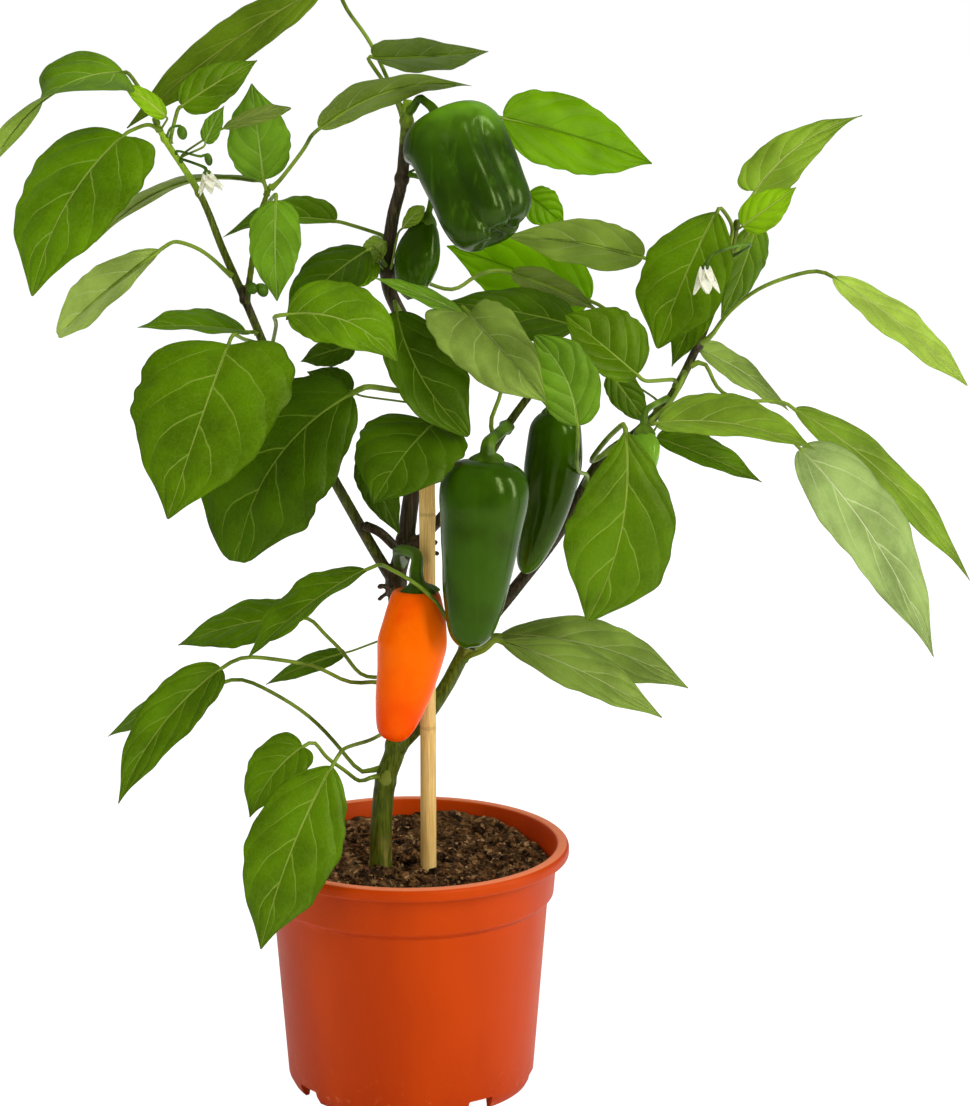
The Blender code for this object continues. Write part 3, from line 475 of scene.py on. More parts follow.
across_bed = [(SOIL_RADIUS * (1 - i / SOIL_RINGS), SOIL_LEVEL) for i in range(SOIL_RINGS)]
bed_side = [
    (0.0, PAD_THICKNESS + SOIL_GAP),
    (PAD_RADIUS - 0.0025, PAD_THICKNESS + SOIL_GAP),
    (PAD_RADIUS, SOIL_BOTTOM),
    (BASE_RADIUS - WALL - 0.001, SOIL_BOTTOM),
    (BODY_TOP_RADIUS - WALL - 0.001, COLLAR_BOTTOM - 0.004),
    (SOIL_RADIUS, COLLAR_BOTTOM + 0.002),
]
bed_bm = turned(bed_side + across_bed + [(0.0, SOIL_LEVEL)], 150)
for corner in bed_bm.verts:
    if corner.co.z > SOIL_LEVEL - 0.001:
        corner.co.z = soil_height(corner.co.x, corner.co.y)
add_piece("soil_bed", bed_bm, ["soil"], [peat], sharp=180)


def finish_faces(corners, number):
    """Gives the faces about these corners the finish of that number on their piece."""
    for face in {face for corner in corners for face in corner.link_faces}:
        face.material_index = number


def scatter(bm, rng, count, shape, low, high, flatness, finish_index=0):
    """Strews bodies over the bed: shape makes one of unit size, low and high are their sizes."""
    for _ in range(count):
        reach = (SOIL_RADIUS - high * 0.6) * math.sqrt(rng.random())
        angle = rng.uniform(0, math.tau)
        x, y = reach * math.cos(angle), reach * math.sin(angle)
        size = low + (high - low) * rng.random() ** 2.2
        corners = shape(bm)
        for corner in corners:
            corner.co *= rng.uniform(0.75, 1.15)
        spin = Matrix.Rotation(rng.uniform(0, math.tau), 4, "Z")
        tilt = Matrix.Rotation(rng.uniform(-0.6, 0.6), 4, "X")
        grow = Matrix.Diagonal((size, size * rng.uniform(0.6, 1.0), size * flatness, 1))
        lie = Matrix.Translation((x, y, soil_height(x, y) + size * flatness * 0.25))
        bmesh.ops.transform(bm, matrix=lie @ spin @ tilt @ grow, verts=corners)
        finish_faces(corners, finish_index)


def lump(bm):
    """A rounded crumb or grain."""
    return bmesh.ops.create_icosphere(bm, subdivisions=1, radius=0.5)["verts"]


def chip(bm):
    """A flat splinter of bark."""
    corners = bmesh.ops.create_cube(bm, size=1.0)["verts"]
    bmesh.ops.scale(bm, vec=(1.0, 0.38, 0.5), verts=corners)
    return corners


def clod(bm):
    """A lumpy clod of peat."""
    corners = bmesh.ops.create_icosphere(bm, subdivisions=3, radius=0.5)["verts"]
    for corner in corners:
        corner.co *= 1 + 0.5 * noise.noise(corner.co * 7)
    return corners


def thread(bm):
    """A dead root or fibre, lying down."""
    corners = bmesh.ops.create_cone(
        bm, cap_ends=True, segments=5, radius1=0.03, radius2=0.02, depth=1.0
    )["verts"]
    bmesh.ops.rotate(bm, matrix=Matrix.Rotation(math.pi / 2, 3, "Y"), verts=corners)
    return corners


crumb_bm = bmesh.new()
crumb_rng = random.Random(12)
scatter(crumb_bm, crumb_rng, CLODS, clod, 0.0045, 0.0110, 0.6)
scatter(crumb_bm, crumb_rng, CRUMBS, lump, 0.0009, 0.0042, 0.8)
scatter(crumb_bm, crumb_rng, BARK_CHIPS, chip, 0.0020, 0.0075, 0.35, finish_index=1)
scatter(crumb_bm, crumb_rng, THREADS, thread, 0.0050, 0.0140, 1.0, finish_index=1)
scatter(crumb_bm, crumb_rng, PALE_GRAINS, lump, 0.0006, 0.0016, 0.9, finish_index=2)
add_piece("soil_crumbs", crumb_bm, [], [peat, bark, grit], sharp=60)


# ------------------------------------------------------------------ the cane
# A split-free bamboo cane pushed into the soil beside the stem: a slender hollow culm with a
# raised ring at each joint and fine fibres along it.
CANE_LOW, CANE_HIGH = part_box("cane")
CANE_AXIS = (CANE_LOW + CANE_HIGH) / 2
CANE_RADIUS = 0.0042
CANE_JOINTS = (0.200, 0.315)


def cane_bamboo():
    """Pale straw-coloured bamboo, browner towards the top, with fibres and darker joint rings."""
    made, tree, output = new_material("bamboo")
    height = own_height(tree)
    fibres = speckle(tree, 2200.0, 4.0, (1, 1, 0.02), 0.6)
    stains = speckle(tree, 60.0, 3.0, (1, 1, 0.3))
    straw = mixed(tree, fade(tree, fibres, 0.35, 0.7), linear(214, 170, 88), linear(248, 214, 140))
    brown = mixed(tree, fade(tree, fibres, 0.35, 0.7), linear(150, 86, 26), linear(206, 134, 58))
    colour = mixed(tree, fade(tree, height, 0.31, 0.38), straw, brown)
    stained = times(tree, fade(tree, stains, 0.55, 0.75), 0.35)
    colour = mixed(tree, stained, colour, linear(150, 108, 62))
    for joint in CANE_JOINTS:
        away = maths(tree, "ABSOLUTE", maths(tree, "SUBTRACT", height, joint))
        ring = times(tree, fade(tree, away, 0.0014, 0.0004), 0.28)
        colour = mixed(tree, ring, colour, linear(130, 88, 40))
    cover(tree, output, {
        "Base Color": colour,
        "Roughness": spread(tree, fibres, 0.25, 0.38),
        "Specular IOR Level": 0.30,
        "Specular Tint": (1.0, 0.86, 0.60),
        "Normal": relief(tree, fibres, 0.35, 0.0004),
    })
    return made


culm = [(0.0, CANE_LOW.z), (CANE_RADIUS * 0.8, CANE_LOW.z), (CANE_RADIUS * 1.02, CANE_LOW.z + 0.02)]
for joint in CANE_JOINTS:
    culm += [
        (CANE_RADIUS * 0.99, joint - 0.006),
        (CANE_RADIUS * 1.02, joint - 0.0022),
        (CANE_RADIUS * 1.05, joint - 0.0006),
        (CANE_RADIUS * 1.00, joint),
        (CANE_RADIUS * 1.04, joint + 0.0008),
        (CANE_RADIUS * 1.01, joint + 0.003),
        (CANE_RADIUS * 0.98, joint + 0.010),
    ]
culm += [
    (CANE_RADIUS * 0.96, CANE_HIGH.z - 0.0003),
    (CANE_RADIUS * 0.92, CANE_HIGH.z),
    (CANE_RADIUS * 0.52, CANE_HIGH.z),
    (CANE_RADIUS * 0.48, CANE_HIGH.z - 0.008),
    (0.0, CANE_HIGH.z - 0.008),
]
cane_bm = turned(culm, 28)
bmesh.ops.translate(cane_bm, vec=(CANE_AXIS.x, CANE_AXIS.y, 0), verts=cane_bm.verts)
add_piece("bamboo_cane", cane_bm, ["cane"], [cane_bamboo()], sharp=40)


# ------------------------------------------------------------------ the stem
# One green stem that forks low down and again higher up. It swells where branches and leaves leave
# it, is corky at its foot and purple-black about its forks, and ends in lime-green tips.
STEM_ROUTES = {
    "main": (
        [
            (-0.0155, -0.010, 0.086), (-0.0155, -0.010, 0.121), (-0.0150, -0.008, 0.147),
            (-0.0125, -0.006, 0.170), (-0.007, -0.004, 0.187), (-0.003, 0.005, 0.221),
            (-0.005, 0.010, 0.252), (-0.007, 0.012, 0.272), (-0.002, 0.012, 0.295),
            (0.002, 0.013, 0.322), (0.010, 0.018, 0.350), (0.012, 0.020, 0.372),
            (0.007, 0.020, 0.392), (-0.003, 0.018, 0.412), (-0.011, 0.018, 0.433),
            (-0.008, 0.016, 0.464),
            (-0.003, 0.012, 0.485), (0.000, 0.008, 0.518), (0.001, 0.008, 0.527),
        ],
        0.0060,
        0.0030,
        [(0.12, 0.05), (0.20, 0.15), (0.245, 0.55), (0.28, 0.95), (0.45, 0.90), (0.50, 0.80),
         (0.527, 0.35)],
    ),
    "left": (
        [
            (-0.007, 0.012, 0.270), (-0.020, 0.005, 0.294), (-0.036, -0.005, 0.326),
            (-0.056, -0.005, 0.363), (-0.069, 0.000, 0.388), (-0.084, 0.000, 0.425),
            (-0.095, 0.000, 0.451), (-0.106, 0.000, 0.479), (-0.123, -0.002, 0.507),
            (-0.129, -0.002, 0.519),
        ],
        0.0032,
        0.0017,
        [(0.27, 0.95), (0.285, 0.62), (0.33, 0.50), (0.37, 0.40), (0.41, 0.42), (0.425, 1.0),
         (0.435, 0.42), (0.48, 0.34), (0.49, 0.0)],
    ),
    "right": (
        [
            (-0.008, -0.004, 0.184), (0.008, -0.004, 0.202), (0.020, -0.002, 0.220),
            (0.032, 0.002, 0.241), (0.055, 0.010, 0.268), (0.080, 0.015, 0.300),
            (0.100, 0.015, 0.336), (0.121, 0.012, 0.354), (0.138, 0.008, 0.374),
            (0.156, 0.005, 0.414), (0.167, 0.005, 0.450), (0.170, 0.005, 0.466),
        ],
        0.0042,
        0.0018,
        [(0.18, 0.15), (0.20, 0.60), (0.215, 0.3), (0.235, 0.35), (0.245, 0.90), (0.30, 0.8),
         (0.36, 0.5), (0.385, 0.3), (0.398, 0.95), (0.412, 0.1), (0.45, 0.0)],
    ),
    "middle": (
        [
            (0.000, 0.013, 0.288), (0.017, 0.008, 0.308), (0.035, -0.004, 0.332),
            (0.052, -0.014, 0.362), (0.070, -0.016, 0.386), (0.087, -0.014, 0.400),
        ],
        0.0032,
        0.0018,
        [(0.29, 0.9), (0.36, 0.6), (0.40, 0.2)],
    ),
    "shoot": (
        [
            (-0.083, 0.000, 0.424), (-0.080, 0.003, 0.445), (-0.076, 0.006, 0.468),
            (-0.070, 0.008, 0.484),
        ],
        0.0019,
        0.0014,
        [(0.42, 0.6), (0.44, 0.3), (0.484, 0.1)],
    ),
}
SWELLINGS = (
    ("main", 0.187, 1.22), ("main", 0.168, 1.12), ("main", 0.272, 1.30), ("main", 0.295, 1.20),
    ("main", 0.360, 1.2), ("main", 0.437, 1.3), ("main", 0.486, 1.25), ("main", 0.516, 1.3),
    ("left", 0.395, 1.3), ("left", 0.425, 1.5), ("left", 0.480, 1.3), ("left", 0.508, 1.4),
    ("right", 0.238, 1.3), ("right", 0.366, 1.3), ("right", 0.400, 1.55), ("right", 0.448, 1.4),
    ("middle", 0.380, 1.3),
)
STUBS = (
    ((-0.007, 0.004, 0.293), (-0.023, -0.006, 0.307), 0.0027),
    ((0.001, 0.008, 0.297), (0.015, 0.003, 0.295), 0.0016),
    ((0.002, 0.008, 0.287), (0.016, 0.005, 0.289), 0.0014),
    ((-0.009, 0.006, 0.268), (-0.016, -0.003, 0.273), 0.0016),
    ((-0.009, 0.006, 0.266), (-0.016, -0.003, 0.266), 0.0013),
)
SCARS = ((-0.0125, -0.0155, 0.172), (0.032, -0.006, 0.236))


def catmull_rom(a, b, c, d, t):
    """The point at a share t from b to c on a smooth curve through four points."""
    return 0.5 * (
        2 * b
        + (c - a) * t
        + (2 * a - 5 * b + 4 * c - d) * t * t
        + (3 * b - a - 3 * c + d) * t * t * t
    )


def smooth_route(points, step):
    """Evenly dense points on a smooth curve through the given ones."""
    points = [Vector(point) for point in points]
    ends = [2 * points[0] - points[1], *points, 2 * points[-1] - points[-2]]
    route = []
    for i in range(len(points) - 1):
        parts = max(1, round((points[i + 1] - points[i]).length / step))
        for k in range(parts):
            route.append(catmull_rom(*ends[i : i + 4], k / parts))
    return route + [points[-1]]


def carried_frames(route, across):
    """At each point of a route a matrix whose Z runs along it, carried on without twist."""
    frames = []
    last = len(route) - 1
    for i, point in enumerate(route):
        along = (route[min(i + 1, last)] - route[max(i - 1, 0)]).normalized()
        across = (across - across.dot(along) * along).normalized()
        turn = Matrix((across, along.cross(across), along)).transposed().to_4x4()
        frames.append(Matrix.Translation(point) @ turn)
    return frames


def grow_tube(bm, frames, radii, sides, swell=None):
    """Sweeps a circle along frames by extruding it; swell may give it lobes, ring by ring."""
    ring = bmesh.ops.create_circle(bm, cap_ends=True, segments=sides, radius=1.0)["verts"]
    edges = list({edge for corner in ring for edge in corner.link_edges})
    made = list(ring)
    previous = None
    for number, (frame_matrix, radius) in enumerate(zip(frames, radii)):
        if previous is not None:
            grown = bmesh.ops.extrude_edge_only(bm, edges=edges)["geom"]
            ring = [item for item in grown if isinstance(item, bmesh.types.BMVert)]
            new = set(ring)
            edges = [
                item for item in grown
                if isinstance(item, bmesh.types.BMEdge) and new.issuperset(item.verts)
            ]
            bmesh.ops.transform(bm, matrix=previous.inverted(), verts=ring)
            made += ring
        if swell:
            for corner in ring:
                corner.co = corner.co.normalized() * swell(
                    math.atan2(corner.co.y, corner.co.x), number
                )
        previous = frame_matrix @ Matrix.Diagonal((radius, radius, radius, 1))
        bmesh.ops.transform(bm, matrix=previous, verts=ring)
    bmesh.ops.contextual_create(bm, geom=edges)
    return made


def seat_on(place, along):
    """The matrix that puts a shape's centre at a place and its Z along a direction."""
    return Matrix.Translation(place) @ along.to_track_quat("Z", "Y").to_matrix().to_4x4()


def stem_radius(name, share):
    """Radius of a stem route at a share of its length."""
    low, high = STEM_ROUTES[name][1:3]
    return low + (high - low) * share


def stem_place(name, height):
    """Centre, direction and radius of a stem route at a height."""
    route = smooth_route(STEM_ROUTES[name][0], 0.022)
    for i, (low, high) in enumerate(zip(route, route[1:])):
        if high.z >= height or i == len(route) - 2:
            share = min(1.0, max(0.0, (height - low.z) / (high.z - low.z)))
            radius = stem_radius(name, (i + share) / (len(route) - 1))
            return low.lerp(high, share), (high - low).normalized(), radius


stem_bm = bmesh.new()
stem_samples = []
for branch, (points, _, _, darkness) in STEM_ROUTES.items():
    route = smooth_route(points, 0.004)
    last = len(route) - 1
    radii = [stem_radius(branch, i / last) for i in range(last + 1)]
    if branch == "main":
        radii = [
            radius * (1 + 0.06 * math.exp(-((point.z - SOIL_LEVEL) / 0.010) ** 2))
            for point, radius in zip(route, radii)
        ]
    grow_tube(
        stem_bm, carried_frames(route, Vector((1.0, 0.1, 0.05))), radii, 20,
        lambda angle, number: 1.0 + 0.05 * math.cos(4 * angle + 0.02 * number),
    )
    heights, shades = zip(*darkness)
    stem_samples += [(point, float(np.interp(point.z, heights, shades))) for point in route]
for branch, height, size in SWELLINGS:
    centre, along, radius = stem_place(branch, height)
    corners = bmesh.ops.create_icosphere(stem_bm, subdivisions=3, radius=1.0)["verts"]
    shape = Matrix.Diagonal((radius * size, radius * size, radius * 1.25, 1))
    bmesh.ops.transform(stem_bm, matrix=seat_on(centre, along) @ shape, verts=corners)
for low, high, radius in STUBS:
    middle = (Vector(low) + Vector(high)) / 2 + Vector((0, 0, 0.002))
    route = smooth_route([low, middle, high], 0.003)
    grow_tube(
        stem_bm, carried_frames(route, Vector((0.1, 1.0, 0.3))), [radius] * len(route), 12
    )
    stem_samples += [(point, 0.95) for point in route]
for scar in SCARS:
    stem_samples.append((Vector(scar), -1.0))
stem_rough = as_object("stem_rough", stem_bm)
join = stem_rough.modifiers.new("Join", "REMESH")
join.mode = "VOXEL"
join.voxel_size = 0.0008
soften = stem_rough.modifiers.new("Soften", "SMOOTH")
soften.factor = 0.6
soften.iterations = 7


def stem_skin():
    """Ridged green skin: corky at the foot, purple-black where its shade is high, pale at scars."""
    made, tree, output = new_material("stem_skin")
    height = own_height(tree)
    shade = put(tree, "ShaderNodeAttribute", attribute_name="stem_shade").outputs["Fac"]
    ridges = speckle(tree, 900.0, 3.0, (1, 1, 0.05), 0.6)
    patches = speckle(tree, 130.0, 3.0, (1, 1, 0.4))
    green = mixed(tree, fade(tree, ridges, 0.35, 0.68), linear(54, 70, 0), linear(98, 112, 18))
    green = mixed(tree, fade(tree, height, 0.474, 0.494), green, linear(146, 180, 40))
    green = mixed(tree, fade(tree, shade, -0.1, -0.7), green, linear(118, 130, 44))
    dark = mixed(tree, fade(tree, ridges, 0.4, 0.7), linear(34, 32, 16), linear(82, 62, 50))
    uneven = spread(tree, maths(tree, "SUBTRACT", patches, 0.5), 0.9, shade)
    colour = mixed(tree, fade(tree, uneven, 0.30, 0.80), green, dark)
    cork = times(tree, fade(tree, height, 0.144, 0.124), fade(tree, patches, 0.42, 0.6))
    colour = mixed(tree, cork, colour, linear(150, 132, 66))
    cover(tree, output, {
        "Base Color": colour,
        "Roughness": spread(tree, patches, 0.2, 0.38),
        "Specular IOR Level": 0.30,
        "Specular Tint": (1.0, 1.0, 0.60),
        "Normal": relief(tree, ridges, 0.4, 0.0007),
    })
    return made


stem = add_piece("forked_stem", as_bmesh(stem_rough), ["stem"], [stem_skin()], 180)
corners = np.empty(len(stem.data.vertices) * 3)
stem.data.vertices.foreach_get("co", corners)
sample_places = np.array([point for point, _ in stem_samples])
sample_shades = np.array([shade for _, shade in stem_samples])
nearest = [
    int(np.argmin(((sample_places - corner) ** 2).sum(axis=1)))
    for corner in corners.reshape(-1, 3)
]
stem.data.attributes.new("stem_shade", "FLOAT", "POINT").data.foreach_set(
    "value", sample_shades[nearest].astype(np.float32)
)


# ------------------------------------------------------------------ the leaves
# Each leaf is a thin blade, dark and softly shiny above and paler below, that grows out of its own
# round stalk. The stalk runs on under the blade as its midrib, and side veins arch towards the
# margin, which waves a little. Young leaves are lime green, and light shines through all of them.
BLADE_THICKNESS = 0.0005
STALK_RADIUS = 0.00105
STALK_FOOT = 0.0020
LEAF_STALK_RINGS = 18
LEAF_LIFT = 1.2  # how steeply a stalk leaves the stem, up for each unit out
MIDRIB_RINGS = 16
BLADE_ALONG = 64
BLADE_ACROSS = 32
SIDE_VEINS = 4.4  # pairs
VEIN_ARCH = (0.30, 0.16)  # how far a side vein runs forward on its way to the margin
VEIN_CROWD = 0.85
VEIN_SHIFT = 0.38  # how far one side's veins stand before the other's
LEAF_SHAPE = (0.52, 0.95)
DRIP = 0.40  # share of the width that the drawn-out tip loses
SUNLIT = linear(168, 216, 4)  # light that has come through a blade


def leaf_veins():
    """Node group: masks of a blade's veins from where a point lies on it.

    Place is (share of the length, share of the half width with its side's sign, metres across).
    """
    tree = bpy.data.node_groups.new("leaf_veins", "ShaderNodeTree")
    tree.interface.new_socket("Place", in_out="INPUT", socket_type="NodeSocketVector")
    for name in ("Midrib", "Veins", "Net", "Height"):
        tree.interface.new_socket(name, in_out="OUTPUT", socket_type="NodeSocketFloat")
    given = tree.nodes.new("NodeGroupInput")
    gives = tree.nodes.new("NodeGroupOutput")
    parts = put(tree, "ShaderNodeSeparateXYZ", {0: given.outputs["Place"]})
    share, side, metres = parts.outputs
    out = maths(tree, "ABSOLUTE", side)
    rib_width = spread(tree, maths(tree, "SUBTRACT", 1.0, share), 0.00065, 0.00020)
    near_rib = maths(tree, "DIVIDE", maths(tree, "ABSOLUTE", metres), rib_width)
    midrib = fade(tree, near_rib, 1.25, 0.45)

    bend = times(tree, maths(tree, "POWER", out, 3.0), VEIN_ARCH[1])
    arch = spread(tree, out, VEIN_ARCH[0], bend)
    other_side = times(tree, maths(tree, "GREATER_THAN", side, 0.0), VEIN_SHIFT)
    crowd = maths(tree, "POWER", share, VEIN_CROWD)
    phase = spread(tree, maths(tree, "SUBTRACT", crowd, arch), SIDE_VEINS, other_side)
    wander = put(tree, "ShaderNodeTexNoise", {"Vector": given.outputs["Place"], "Scale": 3.0})
    phase = spread(tree, wander.outputs["Fac"], 0.2, phase)
    off_vein = maths(tree, "SUBTRACT", maths(tree, "FRACT", phase), 0.5)
    between = times(tree, maths(tree, "ABSOLUTE", off_vein), 2.0)
    vein_width = spread(tree, maths(tree, "SUBTRACT", 1.0, out), 0.055, 0.015)
    veins = fade(tree, maths(tree, "DIVIDE", between, vein_width), 1.3, 0.2)
    veins = times(tree, veins, fade(tree, out, 0.92, 0.45))
    veins = times(tree, veins, fade(tree, share, 0.02, 0.10))

    flat = put(tree, "ShaderNodeCombineXYZ", {0: times(tree, share, 0.09), 1: metres})
    cells = put(
        tree, "ShaderNodeTexVoronoi", {"Vector": flat.outputs[0], "Scale": 330.0},
        feature="DISTANCE_TO_EDGE",
    )
    net = fade(tree, cells.outputs["Distance"], 0.10, 0.02)
    dome = times(tree, between, maths(tree, "SUBTRACT", 2.0, between))
    height = spread(tree, dome, 0.8, times(tree, net, -0.04))
    height = maths(tree, "SUBTRACT", height, times(tree, midrib, 0.7))
    for name, value in (("Midrib", midrib), ("Veins", veins), ("Net", net), ("Height", height)):
        tree.links.new(value, gives.inputs[name])
    return tree


VEINS = leaf_veins()


def thin_cover(tree, output, share, inputs, light):
    """Covers a material with a skin of these inputs that lets a share of the light through."""
    skin = put(tree, "ShaderNodeBsdfPrincipled", inputs)
    through = put(tree, "ShaderNodeBsdfTranslucent", light)
    both = put(tree, "ShaderNodeMixShader", {0: share, 1: skin.outputs[0], 2: through.outputs[0]})
    tree.links.new(both.outputs[0], output.inputs["Surface"])


def leaf_face(name, blade, vein, gloss, share, rise):
    """One face of a blade: its colour, its veins, a painted shade along its margin, and the light
    that comes through from behind.
    """
    made, tree, output = new_material(name)
    place = put(tree, "ShaderNodeAttribute", attribute_name="blade_place").outputs["Vector"]
    veins = put(tree, "ShaderNodeGroup", {"Place": place}, node_tree=VEINS)
    cloudy = fade(tree, speckle(tree, 42.0, 4.0), 0.30, 0.70)
    colour = mixed(tree, cloudy, toned(blade, 0.72), toned(blade, 1.22))
    for mask, strength in (("Net", 0.08), ("Veins", 0.62), ("Midrib", 0.85)):
        colour = mixed(tree, times(tree, veins.outputs[mask], strength), colour, vein)
    side = put(tree, "ShaderNodeSeparateXYZ", {0: place}).outputs["Y"]
    # painted shade: a dark line along the margin stands for the shadow at the blade's edge
    margin = times(tree, fade(tree, maths(tree, "ABSOLUTE", side), 0.955, 0.995), 0.5)
    colour = mixed(tree, margin, colour, toned(blade, 0.35))
    grain = spread(tree, speckle(tree, 1300.0, 2.0), 0.16, veins.outputs["Height"])
    normal = relief(tree, grain, rise, 0.0009)
    lit = mixed(tree, times(tree, veins.outputs["Veins"], 0.35), SUNLIT, toned(SUNLIT, 0.55))
    thin_cover(
        tree, output, share,
        {
            "Base Color": colour,
            "Roughness": spread(tree, speckle(tree, 150.0, 3.0), 0.22, gloss - 0.11),
            "Specular IOR Level": 0.22,
            "Specular Tint": (1.0, 1.0, 0.45),
            "Normal": normal,
        },
        {"Color": lit, "Normal": normal},
    )
    return made


def stalk_skin(name, pale, shaded):
    """The round stalk and midrib: smooth, faintly striped, shaded on and off along its length."""
    made, tree, output = new_material(name)
    stripes = speckle(tree, 700.0, 2.0, (1, 1, 0.3))
    colour = mixed(tree, fade(tree, speckle(tree, 55.0, 2.0), 0.40, 0.66), pale, shaded)
    colour = mixed(tree, times(tree, fade(tree, stripes, 0.5, 0.7), 0.35), colour, pale)
    cover(tree, output, {
        "Base Color": colour,
        "Roughness": 0.42,
        "Specular IOR Level": 0.30,
        "Specular Tint": (1.0, 1.0, 0.60),
        "Normal": relief(tree, stripes, 0.3, 0.0004),
    })
    return made


# Each tint: the upper face, its veins, the lower face, and how much light comes through
# The grey and silver tints: their paleness is partly the leaves' own colour, partly a painted sheen
# of light off the blade.
LEAF_TINTS = {
    "deep": (linear(60, 90, 0), linear(118, 144, 44), linear(112, 132, 40), 0.12),
    "mature": (linear(82, 115, 0), linear(150, 174, 66), linear(128, 150, 50), 0.18),
    "fresh": (linear(92, 128, 2), linear(164, 188, 82), linear(142, 166, 60), 0.20),
    "lime": (linear(136, 178, 10), linear(190, 214, 84), linear(160, 190, 66), 0.28),
    "cool": (linear(104, 146, 26), linear(158, 190, 84), linear(146, 172, 76), 0.18),
    "light": (linear(122, 152, 36), linear(176, 194, 96), linear(150, 172, 76), 0.18),
    "grey": (linear(126, 150, 58), linear(178, 194, 116), linear(150, 170, 84), 0.14),
    "silver": (linear(142, 164, 90), linear(208, 220, 160), linear(160, 180, 96), 0.14),
    "pale": (linear(166, 192, 72), linear(200, 214, 120), linear(164, 188, 84), 0.24),
    "olive": (linear(90, 113, 14), linear(138, 152, 62), linear(122, 140, 52), 0.18),
    "backlit": (linear(112, 150, 0), linear(94, 132, 2), linear(124, 162, 8), 0.40),
}
leaf_finishes = {}
for tint, (blade, vein, below, share) in LEAF_TINTS.items():
    leaf_finishes[tint] = (
        leaf_face(f"leaf_{tint}", blade, vein, 0.40, share, 0.75),
        leaf_face(f"leaf_{tint}_below", below, linear(186, 200, 138), 0.55, share, 0.55),
        stalk_skin(f"stalk_{tint}", linear(122, 148, 42), linear(78, 100, 14)),
    )


def leave_stem(branch, height, toward, lift):
    """The foot of a stalk inside the stem's skin and the direction in which it leaves."""
    centre, along, radius = stem_place(branch, height)
    out = toward - centre
    out = (out - out.dot(along) * along).normalized()
    return centre + out * radius * 0.6, (out + lift * along).normalized()


def distances(route):
    """How far along a route each of its points lies."""
    return np.concatenate([[0], np.cumsum(np.linalg.norm(np.diff(route, axis=0), axis=1))])


def stalk_route(foot, away, vias, end, end_direction, count):
    """A smooth stalk from the stem to its end, straight out of the one and into the other."""
    vias = [Vector(via) for via in vias]
    whole = (end - foot).length
    start = min(whole * 0.12, ((vias or [end])[0] - foot).length * 0.4)
    finish = min(whole * 0.12, (end - (vias or [foot])[-1]).length * 0.4)
    knots = [foot, foot + away * start, *vias, end - end_direction * finish, end]
    route = np.array(smooth_route(knots, whole / 40))
    for _ in range(14):
        route[1:-1] = (route[:-2] + 2 * route[1:-1] + route[2:]) / 4
    gone = distances(route)
    even = np.linspace(0, gone[-1], count + 1)
    return [Vector(place) for place in zip(*[np.interp(even, gone, axis) for axis in route.T])]


def unit(rows):
    """Rows of vectors, each made one long."""
    return rows / np.linalg.norm(rows, axis=1, keepdims=True)


def arched(ends, s):
    """Places and directions at shares s of an arch given by its start, its pull and its end."""
    place = (1 - s) ** 2 * ends[0] + 2 * s * (1 - s) * ends[1] + s**2 * ends[2]
    return place, unit(2 * (1 - s) * (ends[1] - ends[0]) + 2 * s * (ends[2] - ends[1]))


def ease(share):
    """Smoothly 0 at 0 and 1 at 1."""
    return share * share * (3 - 2 * share)


def blade_width(share, shape):
    """Half width of a blade along its midrib, at most 1.

    shape gives how slender its base and its far end are; the very tip is drawn out to a point.
    """
    peak = shape[0] / sum(shape)
    most = peak ** shape[0] * (1 - peak) ** shape[1]
    late = ease(np.clip((share - 0.70) / 0.30, 0, 1))
    return share ** shape[0] * (1 - share) ** shape[1] / most * (1 - DRIP * late)


